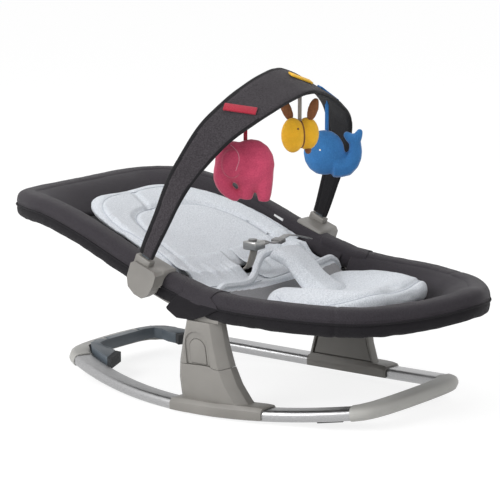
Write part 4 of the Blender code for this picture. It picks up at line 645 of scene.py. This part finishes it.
def restingOn(obj, slingName, clear=0.0008, most=0.01):
    # lifts a pad, thickness and all, off the cloth that carries it
    own = treeOf(obj.data)
    lifts = []
    for vert in obj.data.vertices:
        under = topOf(slingTrees[slingName], vert.co.x, vert.co.y)
        belly = own.ray_cast(Vector((vert.co.x, vert.co.y, 0.0)), zUp)[0]
        lowest = belly.z if belly else vert.co.z
        lifts.append(max(0.0, under.z + clear - lowest) if under else 0.0)
    for vert, lift in zip(obj.data.vertices, lifts):
        vert.co.z += min(lift, most)


def filled(obj, cap, pressure=4.0, frames=20):
    # cloth under pressure, with no point moved further than the cap
    start = [v.co.copy() for v in obj.data.vertices]
    air = obj.modifiers.new("air", "CLOTH")
    air.settings.use_pressure = True
    air.settings.uniform_pressure_force = pressure
    air.settings.effector_weights.gravity = 0.0
    air.settings.quality = 4
    air.settings.mass = 0.25
    air.point_cache.frame_start = 1
    air.point_cache.frame_end = frames
    for f in range(1, frames + 1):
        scene.frame_set(f)
    graph = bpy.context.evaluated_depsgraph_get()
    moved = [v.co.copy() for v in obj.evaluated_get(graph).data.vertices]
    obj.modifiers.clear()
    scene.frame_set(1)
    for vert, before, after in zip(obj.data.vertices, start, moved):
        step = after - before
        if step.length > cap:
            step *= cap / step.length
        vert.co = before + step


def subdivided(obj, levels=1):
    soft = obj.modifiers.new("soft", "SUBSURF")
    soft.levels = levels
    soft.render_levels = levels
    applied(obj)


def nearestOn(path, point):
    best = 1e9
    for a, b in zip(path, path[1:]):
        span = b - a
        t = max(0.0, min(1.0, (point - a).dot(span) / max(span.length_squared, 1e-12)))
        best = min(best, (point - a - span * t).length)
    return best


def pressedSeam(obj, path, depth, width, facing=0.2, fade=0.5):
    # draws the upper cloth in along a seam that is given in plan
    flat = [Vector((p[0], p[1], 0)) for p in path]
    reach = 3 * width
    lowX, highX = min(p.x for p in flat) - reach, max(p.x for p in flat) + reach
    lowY, highY = min(p.y for p in flat) - reach, max(p.y for p in flat) + reach
    obj.data.update()
    for vert in obj.data.vertices:
        c = vert.co
        if vert.normal.z < facing or not (lowX < c.x < highX and lowY < c.y < highY):
            continue
        away = nearestOn(flat, Vector((c.x, c.y, 0)))
        if away < reach:
            share = max(0.0, min(1.0, (vert.normal.z - facing) / fade))
            vert.co -= vert.normal * share * depth * math.exp(-(away / width) ** 2)


pads = {
    "back_pad": {"voxel": 0.0045, "shrink": 0.0012, "cap": 0.0035, "fill": 0.7},
    "seat_pad": {"voxel": 0.0036, "shrink": 0.0008, "cap": 0.002, "fill": 0.5},
    "foot_cushion": {"voxel": 0.0045, "shrink": 0.0015, "cap": 0.0045, "fill": 0.8},
    "crotch_pad": {"voxel": 0.004, "shrink": 0.0012, "cap": 0.003, "fill": 0.7},
}
padPieces = {}
for padName, settings in pads.items():
    pad = remeshed([padName], padName + "_cloth", "liner", settings["voxel"],
                   settings["shrink"], form=padForms[padName])
    filled(pad, settings["cap"])
    subdivided(pad)
    restingOn(pad, "back_sling" if padName == "back_pad" else "leg_sling")
    padPieces[padName] = pad
print("pads filled")


def dropped(obj, path, lift):
    # a plan line laid on top of a piece
    tree = treeOf(obj.data)
    hits = [topOf(tree, p[0], p[1]) for p in path]
    return [hit + zUp * lift for hit in hits if hit]


def mirrored(half):
    return list(half) + [(x, -y) for x, y in reversed(half) if abs(y) > 1e-6]


padLines = {
    "bodyArc": mirrored((
        (-0.06, 0.124), (-0.118, 0.119), (-0.16, 0.107), (-0.196, 0.088), (-0.216, 0.06),
        (-0.224, 0.03), (-0.226, 0.0))),
    "backEdge": mirrored((
        (-0.06, 0.156), (-0.12, 0.156), (-0.175, 0.152), (-0.215, 0.138), (-0.243, 0.117),
        (-0.264, 0.088), (-0.277, 0.05), (-0.28, 0.0))),
    "footEdge": mirrored((
        (0.1, 0.104), (0.13, 0.122), (0.165, 0.125), (0.2, 0.119), (0.228, 0.102),
        (0.247, 0.078), (0.257, 0.046), (0.26, 0.0))),
    "headCrease": ((-0.285, 0.006), (-0.262, -0.004), (-0.243, -0.011), (-0.222, -0.022)),
}
# each pad's lines, with their depth and width
seamOf = {"back_pad": (("bodyArc", 0.0045, 0.0055), ("backEdge", 0.0018, 0.003),
                       ("headCrease", 0.004, 0.006)),
          "foot_cushion": (("footEdge", 0.0034, 0.004),)}
seamPiping = {"radius": 0.0009, "lift": 0.0002, "spacing": 0.003}

# the heels' hollow in the foot cushion
dent = {"from": 0.185, "to": 0.25, "half": 0.082, "deep": 0.016}
foot = padPieces["foot_cushion"]
foot.data.update()
for vert in foot.data.vertices:
    if vert.normal.z > 0.2:
        t = max(0.0, min(1.0, (vert.co.x - dent["from"]) / (dent["to"] - dent["from"])))
        across = max(0.0, 1 - (vert.co.y / dent["half"]) ** 2) ** 1.5
        vert.co.z -= dent["deep"] * (1 - t * t * (3 - 2 * t)) * across

seamRows = {"back_pad": [], "foot_cushion": []}
for padName, seams in seamOf.items():
    for lineName, depth, width in seams:
        corners = [Vector((x, y, 0)) for x, y in padLines[lineName]]
        line = evenly(smoothSteps(corners, 8), 0.006)
        pressedSeam(padPieces[padName], line, depth, width)
        if lineName != "headCrease":
            line = evenly(line, seamPiping["spacing"])
            seamRows[padName].append(dropped(padPieces[padName], line, seamPiping["lift"]))

# the seat's liner is painted a darker grey as shade where the leg openings begin
paintedShadeFrom = 0.034
seat = padPieces["seat_pad"]
seat.data.materials.append(finish["linerPaintedShade"])
for face in seat.data.polygons:
    if face.center.x > paintedShadeFrom:
        face.material_index = 1

for padName, pad in padPieces.items():
    pad.data.shade_smooth()
    placed(pad, padName)
for padName, lines in seamRows.items():
    runTree(piping, padName + "_seams", lines, "linerSeam", bodyOf(padName),
            Radius=seamPiping["radius"])


# thin pieces of cloth

def clothOf(rows, flip=False):
    # one face between each four neighbouring points
    bm = bmesh.new()
    grid = [[bm.verts.new(p) for p in row] for row in rows]
    for lower, upper in zip(grid, grid[1:]):
        for i in range(len(lower) - 1):
            corners = (lower[i], lower[i + 1], upper[i + 1], upper[i])
            bm.faces.new(reversed(corners) if flip else corners)
    return bm


def thickened(obj, thickness, offset):
    solid = obj.modifiers.new("thickness", "SOLIDIFY")
    solid.thickness = thickness
    solid.offset = offset
    applied(obj)
    obj.data.shade_smooth()


def sideName(side):
    return "left" if side > 0 else "right"


# liner between the back pad and the seat, with a gap for the crotch strap
bridge = {"from": -0.082, "to": 0.002, "slot": 0.0125, "reach": 0.157, "columns": 42,
          "rows": 44, "over": 0.0011, "thick": 0.001, "settling": 60, "hem": 6}


def linerBridge(side):
    under = [treeOf(padPieces[name].data) for name in ("back_pad", "seat_pad")]
    columns = bridge["columns"]
    xs = [bridge["from"] + (bridge["to"] - bridge["from"]) * i / columns
          for i in range(columns + 1)]
    rows = []
    for j in range(bridge["rows"] + 1):
        y = side * (bridge["slot"] + (bridge["reach"] - bridge["slot"]) * j / bridge["rows"])
        floor = []
        for x in xs:
            heights = [hit.z for hit in (topOf(tree, x, y) for tree in under) if hit]
            floor.append(max(heights) if heights else (floor[-1] if floor else 0.2))
        level = list(floor)
        for step in range(bridge["settling"]):
            level = [max(floor[i], (level[max(i - 1, 0)] + level[i]
                                    + level[min(i + 1, columns)]) / 3)
                     for i in range(columns + 1)]
        row = []
        for i, (x, z) in enumerate(zip(xs, level)):
            hem = min(1.0, 0.12 + i / bridge["hem"], 0.12 + (columns - i) / bridge["hem"])
            row.append((x, y, z + bridge["over"] * math.sin(math.pi * hem / 2)))
        rows.append(row)
    piece = addPiece("liner_bridge_" + sideName(side),
                     meshOf(clothOf(rows, side < 0), "liner_bridge"), ["liner"])
    thickened(piece, bridge["thick"], 1.0)
    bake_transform(piece)


# the padded edge of each leg opening
legEdge = {"radius": 0.0062, "fill": 0.8, "line": (
    (0.026, 0.168, 0.176), (0.026, 0.16, 0.189), (0.025, 0.146, 0.1965),
    (0.025, 0.125, 0.1955), (0.024, 0.095, 0.1925), (0.022, 0.07, 0.1935),
    (0.018, 0.052, 0.202), (0.015, 0.039, 0.217), (0.016, 0.027, 0.228),
    (0.021, 0.012, 0.232))}
for side in (-1, 1):
    linerBridge(side)
    line = [(x, side * y, z) for x, y, z in legEdge["line"]]
    roll = runTree(piping, "leg_opening_edge_" + sideName(side),
                   [evenly(smoothSteps(line, 8), 0.004)], "liner", "fixed",
                   Radius=legEdge["radius"])
print("liner bridged")


# padded rim

rim = {"halfWidth": 0.02, "halfHeight": 0.0225, "power": 3.0, "around": 48, "spacing": 0.003,
       "piping": 0.0016, "ripple": 0.0006, "endRound": 0.008, "grooveHalf": 0.004,
       "grooveDeep": 0.0011, "seamReach": 0.008, "seamDeep": 0.0013, "seamWide": 0.0028}
stitch = {"Spacing": 0.005, "Length": 0.0034, "Thickness": 0.0005}
hingeAxis = Vector((0.035, 0.0, 0.183))
backPlan = ((-0.388, 0.0, 0.287), (-0.388, 0.095, 0.287), (-0.376, 0.147, 0.288),
            (-0.335, 0.175, 0.289), (-0.28, 0.19, 0.285), (-0.2, 0.2, 0.264),
            (-0.1, 0.2045, 0.226), (-0.03, 0.2035, 0.201), (0.035, 0.202, 0.183))
legPlan = ((0.035, 0.202, 0.183), (0.1, 0.2, 0.178), (0.19, 0.19, 0.177),
           (0.26, 0.167, 0.176), (0.305, 0.139, 0.177), (0.345, 0.092, 0.181),
           (0.374, 0.044, 0.187), (0.388, 0.0, 0.192))


def wholeSide(plan):
    half = [Vector(p) for p in plan]
    if half[0].y > 0:
        half.reverse()
    left = smoothSteps([Vector((p.x, -p.y, p.z)) for p in (half[2], half[1])] + half, 10)[20:]
    left[0].y = 0.0
    right = [Vector((p.x, -p.y, p.z)) for p in reversed(left[1:])]
    return right + left


def rimPath(plan, gap):
    path = [p for p in wholeSide(plan) if abs(p.x - hingeAxis.x) > gap]
    return evenly(path, rim["spacing"])


def rimFrame(path, index):
    # level and away from the seat, then up, both square to the path
    before = path[max(index - 1, 0)]
    after = path[min(index + 1, len(path) - 1)]
    along = (after - before).normalized()
    right = along.cross(zUp).normalized()
    away = Vector((path[index].x - hingeAxis.x * 0.5, path[index].y, 0))
    return right if right.dot(away) > 0 else -right, right.cross(along).normalized()


def rimRings(path, seams):
    angles = [-math.tau * i / rim["around"] for i in range(rim["around"])]
    outline = squareOval(rim["halfWidth"], rim["halfHeight"], rim["power"], angles)
    rings = []
    last = len(path) - 1
    for index, point in enumerate(path):
        outward, up = rimFrame(path, index)
        ends = min(index, last - index) * rim["spacing"]
        taper = math.sqrt(max(0.02, 1 - max(0.0, 1 - ends / rim["endRound"]) ** 2))
        ring = []
        for u, v in outline:
            radius = math.hypot(u, v)
            x, y = point.x, point.y
            pull = rim["ripple"] * noise.noise(Vector((x * 30, y * 30, v * 90 + u * 40)))
            pull += 0.5 * rim["ripple"] * noise.noise(Vector((x * 90, y * 90, v * 160)))
            if u > 0 and abs(v) < rim["grooveHalf"]:
                pull -= rim["grooveDeep"] * (1 - abs(v) / rim["grooveHalf"])
            if v < -rim["grooveHalf"] and u > -0.005:
                pull += 2.2 * rim["ripple"] * noise.noise(Vector((x * 46, y * 46, 7.0)))
            for seam in seams:
                away = (point - seam).length
                if away < rim["seamReach"]:
                    pull -= rim["seamDeep"] * math.exp(-(away / rim["seamWide"]) ** 2)
            scale = (radius + pull) / radius * taper
            ring.append(point + outward * (u * scale) + up * (v * scale))
        rings.append(ring)
    return rings


# the lower half of each ring takes the shell fabric darkened as painted shade
def rimSlot(ring, i):
    return 0 if i >= rim["around"] // 2 else 1


def outerLine(path, offset, rise=0.0):
    line = []
    for index, point in enumerate(path):
        outward, up = rimFrame(path, index)
        line.append(point + outward * offset + up * rise)
    return line


rims = {
    "back_rim": {"plan": backPlan, "gap": 0.01, "seams": (),
                 "covers": ("back_rim_right", "back_rim_left")},
    "leg_rim": {"plan": legPlan, "gap": 0.004, "seams": (0.2585,), "covers": ("leg_rim",)},
}
for rimName, part in rims.items():
    body = bodyOf(part["covers"][0])
    path = rimPath(part["plan"], part["gap"])
    seams = []
    for x in part["seams"]:
        for side in (-1, 1):
            seams.append(min((p for p in path if p.y * side > 0), key=lambda p: abs(p.x - x)))
    skinned = skin(rimRings(path, seams), slotOf=rimSlot)
    cover = addPiece(rimName + "_cover", meshOf(skinned, rimName), ["shellTop", "shellPaintedShade"])
    placed(cover, *part["covers"])
    # piping and stitches take the shell fabric darkened as painted shade
    runTree(piping, rimName + "_piping", [outerLine(path, rim["halfWidth"] + 0.0002)],
            "shellPaintedShade", body, Radius=rim["piping"])
    runTree(stitches, rimName + "_stitches", [outerLine(path, rim["halfWidth"] - 0.0002, 0.0052)],
            "shellPaintedShade", body, **stitch)
print("rims covered")

# plain tag sewn into the far side of the back rim
tag = {"from": -0.121, "to": -0.095, "top": 0.0165, "low": 0.001, "thick": 0.0008,
       "proud": 0.0012, "spacing": 0.003, "cells": 6}
path = [p for p in wholeSide(backPlan) if p.y > 0 and tag["from"] <= p.x <= tag["to"]]
rows = []
for p in evenly(path, tag["spacing"]):
    row = []
    for i in range(tag["cells"] + 1):
        v = tag["low"] + (tag["top"] - tag["low"]) * i / tag["cells"]
        share = (1 - (v / rim["halfHeight"]) ** rim["power"]) ** (1 / rim["power"])
        row.append((p.x, p.y - rim["halfWidth"] * share - tag["proud"], p.z + v))
    rows.append(row)
bm = clothOf(rows)
bmesh.ops.recalc_face_normals(bm, faces=bm.faces)
bmesh.ops.solidify(bm, geom=bm.faces[:], thickness=tag["thick"])
bmesh.ops.recalc_face_normals(bm, faces=bm.faces)
label = addPiece("care_tag", meshOf(bm, "care_tag"), ["tag"], "backrest")


# cloth from the rim's inner top down to the sling

panel = {"in": 0.0115, "up": 0.0196, "clear": 0.0016, "drop": 0.004, "bend": 0.42, "sag": 0.003,
         "ripple": 0.001, "thick": 0.0012}
panelReach = {"back_sling": ((-0.388, 0.074), (-0.33, 0.07), (-0.28, 0.055),
                             (-0.22, 0.042), (-0.15, 0.034), (0.0, 0.031)),
              "leg_sling": ((0.04, 0.034), (0.1, 0.042), (0.2, 0.056),
                            (0.3, 0.066), (0.388, 0.07))}


def innerPanel(plan, gap, slingName, columns=12):
    path = rimPath(plan, gap)
    rows = []
    for index, point in enumerate(path):
        outward, up = rimFrame(path, index)
        reach = reading(point.x, panelReach[slingName])
        start = point - outward * panel["in"] + up * panel["up"]
        end = point - outward * reach
        hit = topOf(slingTrees[slingName], end.x, end.y)
        end = hit + zUp * panel["clear"] if hit else end - up * panel["drop"]
        bend = start - outward * (reach - panel["in"]) * panel["bend"] - up * panel["sag"]
        row = []
        for i in range(columns + 1):
            t = i / columns
            place = start * (1 - t) ** 2 + bend * (2 * t * (1 - t)) + end * t * t
            ripple = panel["ripple"] * math.sin(math.pi * t) * noise.noise(place * 22)
            row.append(place + up * ripple)
        rows.append(row)
    bm = clothOf(rows)
    bmesh.ops.recalc_face_normals(bm, faces=bm.faces)
    bm.normal_update()
    if sum(face.normal.z for face in bm.faces) < 0:
        bmesh.ops.reverse_faces(bm, faces=bm.faces)
    part = slingName.split("_")[0]
    made = addPiece(part + "_inner_panel", meshOf(bm, slingName + "_panel"), ["shellTop"])
    thickened(made, panel["thick"], -1.0)
    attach(made, bodyOf(slingName))


innerPanel(backPlan, 0.012, "back_sling")
innerPanel(legPlan, 0.006, "leg_sling")
print("inner panels sewn")


# fabric flap over each hinge
# its rear and front edges give x at each height

flap = {"proud": 0.0014, "thick": 0.0012, "wrap": 190, "hem": 0.1563, "columns": 40,
        "round": 24, "down": 14, "wave": 0.0008, "puff": 0.0012, "tuck": 0.0042,
        "rear": ((0.1563, -0.0075), (0.1651, -0.0253), (0.1938, 0.01), (0.206, 0.006)),
        "front": ((0.1566, 0.024), (0.1674, 0.0516), (0.185, 0.0779), (0.1983, 0.0596),
                  (0.206, 0.064)),
        "inside": (-0.022, 0.072), "turnIn": 0.012, "bend": 0.016}


def hingeFlap(side):
    line = [p for plan in (backPlan, legPlan) for p in wholeSide(plan) if p.y * side > 0]
    line.sort(key=lambda p: p.x)
    cells = flap["round"] + flap["down"]
    angles = [math.radians(max(0.0, flap["wrap"] * (1 - i / flap["round"])))
              for i in range(cells + 1)]
    outline = squareOval(rim["halfWidth"] + flap["proud"], rim["halfHeight"] + flap["proud"],
                         rim["power"], angles)
    rows = []
    for k in range(flap["columns"] + 1):
        share = k / flap["columns"]
        row = []
        for i, (u, v) in enumerate(outline):
            t = max(0.0, (i - flap["round"]) / flap["down"])
            level = hingeAxis.z + (v if t == 0 else (flap["hem"] - hingeAxis.z) * t)
            inner = max(0.0, min(1.0, -u / flap["turnIn"]))
            rear = reading(level, flap["rear"]) * (1 - inner) + flap["inside"][0] * inner
            front = reading(level, flap["front"]) * (1 - inner) + flap["inside"][1] * inner
            x = rear + (front - rear) * share
            after = next(j for j, p in enumerate(line) if p.x >= x)
            a, b = line[after - 1], line[after]
            centre = a.lerp(b, (x - a.x) / max(b.x - a.x, 1e-9))
            wave = flap["wave"] * noise.noise(Vector((x * 60, level * 60, side)))
            if t == 0:
                row.append(centre + Vector((0, side * (u + 0.4 * wave), v)))
            else:
                u = u + wave + flap["puff"] * math.sin(math.pi * t) - flap["tuck"] * t ** 3
                z = centre.z + (flap["hem"] - centre.z) * t
                row.append(Vector((x, centre.y + side * u, z)))
        rows.append(row)
    bm = clothOf(rows, side < 0)
    # the part that hangs down takes the shell fabric darkened as painted shade
    for i, face in enumerate(bm.faces):
        face.material_index = 1 if i % cells >= flap["round"] else 0
    cover = addPiece("hinge_flap_" + sideName(side), meshOf(bm, "hinge_flap"),
                     ["shellTop", "shellPaintedShade"])
    thickened(cover, flap["thick"], 1.0)
    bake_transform(cover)


for side in (-1, 1):
    hingeFlap(side)
print("hinge flaps sewn")


# slings under the liner, in the shell fabric darkened as painted shade

quads = {"face": math.radians(30), "shape": math.radians(60)}
for nodeName in ("back_sling", "leg_sling"):
    bm = mergedCopy(nodeName)
    bmesh.ops.join_triangles(bm, faces=bm.faces, angle_face_threshold=quads["face"],
                             angle_shape_threshold=quads["shape"])
    sling = addPiece(nodeName + "_cloth", meshOf(bm, nodeName), ["shellPaintedShade"])
    subdivided(sling, 2)
    sling.data.shade_smooth()
    placed(sling, nodeName)
print("slings hung")


# toy bar

bar = {"lean": 23.1, "base": (-0.057, 0.0, 0.25), "rise": 0.281, "foot": -0.0012,
       "wideTop": 0.082, "wideFoot": 0.028, "thick": 0.0078, "spacing": 0.004, "cells": 32,
       "edgeRound": 0.0035, "grooveHalf": 0.0016, "grooveDeep": 0.0006, "ripple": 0.0008,
       "bindings": (0.0035, 0.0085)}
barLean = math.radians(bar["lean"])
barAcross = Vector((math.cos(barLean), 0, -math.sin(barLean)))
barUp = Vector((math.sin(barLean), 0, math.cos(barLean)))
barBase = Vector(bar["base"])
barShape = ((0.2325, -0.0018), (0.231, 0.02), (0.225, 0.061), (0.216, 0.122),
            (0.192, 0.171), (0.162, 0.209), (0.115, 0.24), (0.062, 0.265),
            (0.02, 0.278), (0.0, 0.28))
barWidening = ((0.0, 0.0), (0.3, 0.15), (0.55, 0.38), (0.75, 0.68), (0.9, 0.92), (1.0, 1.0))


def barLine():
    half = [(-s, r) for s, r in barShape]
    points = half + [(-s, r) for s, r in reversed(half[:-1])]
    return smoothSteps([barBase + barUp * r + Vector((0, s, 0)) for s, r in points], 8)


def barFrame(path, index):
    # away from the seat, and the bar's width there
    before = path[max(index - 1, 0)]
    after = path[min(index + 1, len(path) - 1)]
    outward = -(after - before).normalized().cross(barAcross).normalized()
    if outward.dot(path[index] - barBase - barUp * 0.1) < 0:
        outward = -outward
    height = (path[index] - barBase).dot(barUp) / bar["rise"]
    widening = (bar["wideTop"] - bar["wideFoot"]) * reading(height, barWidening)
    return outward, bar["wideFoot"] + widening


def barSleeve():
    path = [p for p in barLine() if (p - barBase).dot(barUp) > bar["foot"]]
    path = evenly(path, bar["spacing"])
    cells = bar["cells"]
    rings = []
    for index, point in enumerate(path):
        outward, wide = barFrame(path, index)
        ring = []
        for side in (1, -1):
            for i in range(cells + 1):
                u = side * (1 - 2 * i / cells) * wide / 2
                edge = wide / 2 - abs(u)
                fall = max(0.0, 1 - edge / bar["edgeRound"])
                crown = bar["thick"] / 2 * math.sqrt(max(0.0, 1 - fall ** 2))
                if abs(edge - bar["bindings"][u < 0]) < bar["grooveHalf"]:
                    crown -= bar["grooveDeep"]
                if side > 0:
                    spot = Vector((point.y * 25, point.z * 25, u * 40 + side))
                    crown += bar["ripple"] * noise.noise(spot)
                ring.append(point + barAcross * u + outward * (side * crown))
        rings.append(ring)

    def slotOf(k, i):
        if i > cells:
            return 1
        wide = barFrame(path, k)[1]
        u = (1 - 2 * (i + 0.5) / cells) * wide / 2
        return 1 if wide / 2 - abs(u) < bar["bindings"][u < 0] else 0

    bm = skin(rings, slotOf=slotOf)
    bmesh.ops.remove_doubles(bm, verts=bm.verts, dist=1e-6)
    bmesh.ops.recalc_face_normals(bm, faces=bm.faces)
    sleeve = addPiece("toy_bar_cover", meshOf(bm, "toy_bar_cover"), ["barTop", "binding"])
    placed(sleeve, "toy_bar_sleeve")


def asBuilt(nodeName, ending, key):
    # a CAD piece in its own shape
    piece = addPiece(nodeName + ending, meshOf(mergedCopy(nodeName), nodeName), [key])
    sharpEdges(piece)
    placed(piece, nodeName)
    return piece


barSleeve()
for colour, key in (("red", "pinkTape"), ("yellow", "yellowTape"), ("blue", "blueTape")):
    loop = asBuilt("toy_loop_" + colour, "_tape", key)
print("toy bar covered")


# harness webbing

asBuilt("crotch_strap", "_webbing", "tape")
asBuilt("waist_strap", "_webbing", "greyTape")
print("harness webbing laid")


# soft toys

plushSkin = {"voxel": 0.002, "grow": 0.0006, "fill": 0.9}
toyPieces = {
    "elephant_plush": {
        "nodes": ("elephant_body", "elephant_head", "elephant_ear_left", "elephant_ear_right"),
        "finish": "pink", "smoothing": 6},
    "bee_plush": {"nodes": ("bee_head", "bee_body"), "finish": "yellow", "smoothing": 2},
    "bee_wing_left_plush": {"nodes": ("bee_wing_left",), "finish": "brown", "smoothing": 2},
    "bee_wing_right_plush": {"nodes": ("bee_wing_right",), "finish": "brown", "smoothing": 2},
    "whale_plush": {"nodes": ("whale_body", "whale_tail"), "finish": "blue", "smoothing": 5},
}
toyTrees = {}
for name, toy in toyPieces.items():
    obj = remeshed(toy["nodes"], name, toy["finish"], plushSkin["voxel"],
                   smoothing=toy["smoothing"], grow=plushSkin["grow"])
    subdivided(obj)
    obj.data.shade_smooth()
    placed(obj, *toy["nodes"])
    toyTrees[name] = treeOf(obj.data)


def loopAround(tree, centre, axis, count=48, reach=0.08):
    # the line where a plane through a soft toy meets its skin
    first = axis.orthogonal().normalized()
    second = axis.cross(first).normalized()
    line = []
    for i in range(count + 1):
        angle = math.tau * (i % count) / count
        away = first * math.cos(angle) + second * math.sin(angle)
        hit = tree.ray_cast(centre + away * reach, -away)[0]
        line.append(hit if hit else centre)
    return line


def button(name, toyName, place, radius, key, flat=0.5):
    hit, normal = toyTrees[toyName].find_nearest(Vector(place))[:2]
    bm = bmesh.new()
    bmesh.ops.create_uvsphere(bm, u_segments=20, v_segments=12, radius=radius)
    turn = normal.to_track_quat("Z", "Y").to_matrix().to_4x4()
    bm.transform(Matrix.Translation(hit) @ turn @ Matrix.Diagonal((1, 1, flat, 1)))
    addPiece(name, meshOf(bm, name), [key], toyName.split("_")[0])


stripe = {"centre": (0.0525, 0.0233, 0.4205), "axis": (0.417, 0.908, 0.04), "radius": 0.0016}
beeLine = loopAround(toyTrees["bee_plush"], Vector(stripe["centre"]),
                     Vector(stripe["axis"]).normalized())
runTree(piping, "bee_stripe", [beeLine], "brown", "bee", Radius=stripe["radius"])
button("bee_eye", "bee_plush", (0.0602, 0.0062, 0.4316), 0.0019, "brown")
button("bee_tail", "bee_plush", (0.061, 0.033, 0.392), 0.0055, "brown", 1.3)
earSeam = {"middle": -0.104, "radius": 0.0006, "lift": 0.0003, "line": (
    (0.0236, 0.018, 0.418), (0.033, 0.019, 0.4125), (0.0391, 0.0193, 0.405),
    (0.0414, 0.02, 0.3965), (0.04, 0.022, 0.388), (0.0375, 0.0233, 0.38))}
for side in (-1, 1):
    button("whale_eye_" + sideName(side), "whale_plush",
           (0.0395, 0.118 + side * 0.0221, 0.3849), 0.0016, "white")
    ear = []
    for x, y, z in earSeam["line"]:
        spot = Vector((x, earSeam["middle"] + side * y, z))
        place, normal = toyTrees["elephant_plush"].find_nearest(spot)[:2]
        ear.append(place + normal * earSeam["lift"])
    runTree(piping, "elephant_ear_seam_" + sideName(side), [evenly(smoothSteps(ear, 6), 0.001)],
            "pinkSeam", "elephant", Radius=earSeam["radius"])
for toyName, key in (("elephant", "pinkTape"), ("bee", "tape"), ("whale", "blueTape")):
    asBuilt(toyName + "_strap", "_tape", key)
print("toys stuffed")


# studio: a backdrop that the camera sees white, and three lamps

studio = {"floorColour": (0.86, 0.86, 0.86, 1), "glow": 1.16, "glowShare": 0.72,
          "floorSize": 12.0, "floorDrop": 0.0004, "worldLight": 0.62, "worldSeen": 1.0,
          "aim": (0, 0, 0.2)}


def seenBy(tree, *rays):
    # one for these kinds of ray, else nothing
    path = node(tree, "ShaderNodeLightPath").outputs
    seen = path[rays[0]]
    for ray in rays[1:]:
        seen = node(tree, "ShaderNodeMath", [(seen, 0), (path[ray], 1)],
                    operation="MAXIMUM").outputs[0]
    return seen


def floorMaterial():
    made = bpy.data.materials.new("studioFloor")
    made.use_nodes = True
    tree = made.node_tree
    tree.nodes.clear()
    diffuse = node(tree, "ShaderNodeBsdfDiffuse", Color=studio["floorColour"])
    glow = node(tree, "ShaderNodeEmission", Color=(1, 1, 1, 1), Strength=studio["glow"])
    seen = seenBy(tree, "Is Camera Ray", "Is Glossy Ray", "Is Transmission Ray")
    amount = node(tree, "ShaderNodeMath", [(seen, 0)], operation="MULTIPLY")
    amount.inputs[1].default_value = studio["glowShare"]
    both = node(tree, "ShaderNodeMixShader",
                [(amount.outputs[0], "Fac"), (diffuse.outputs[0], 1), (glow.outputs[0], 2)])
    node(tree, "ShaderNodeOutputMaterial", [(both.outputs[0], "Surface")])
    return made


bm = bmesh.new()
bmesh.ops.create_grid(bm, x_segments=1, y_segments=1, size=studio["floorSize"])
floor = bpy.data.objects.new("studioFloor", meshOf(bm, "studioFloor"))
floor.location.z = -studio["floorDrop"]
floor.data.materials.append(floorMaterial())
scene.collection.objects.link(floor)

world = bpy.data.worlds.new("studio")
world.use_nodes = True
scene.world = world
tree = world.node_tree
level = between(tree, seenBy(tree, "Is Camera Ray", "Is Glossy Ray"),
                studio["worldLight"], studio["worldSeen"])
background = tree.nodes["Background"].inputs
background["Color"].default_value = (1.0, 1.0, 1.0, 1)
tree.links.new(level, background["Strength"])

lamps = {
    "key": {"place": (-0.7, -2.6, 1.7), "size": 1.5, "watts": 66.0},
    "fill": {"place": (2.6, -1.6, 1.6), "size": 2.4, "watts": 12.0},
    "top": {"place": (-0.3, 0.6, 2.6), "size": 1.8, "watts": 18.0},
}
for name, lamp in lamps.items():
    data = bpy.data.lights.new(name, "AREA")
    data.energy = lamp["watts"]
    data.size = lamp["size"]
    obj = bpy.data.objects.new(name, data)
    obj.location = lamp["place"]
    facing = Vector(studio["aim"]) - obj.location
    obj.rotation_euler = facing.to_track_quat("-Z", "Y").to_euler()
    scene.collection.objects.link(obj)
print("studio lit")
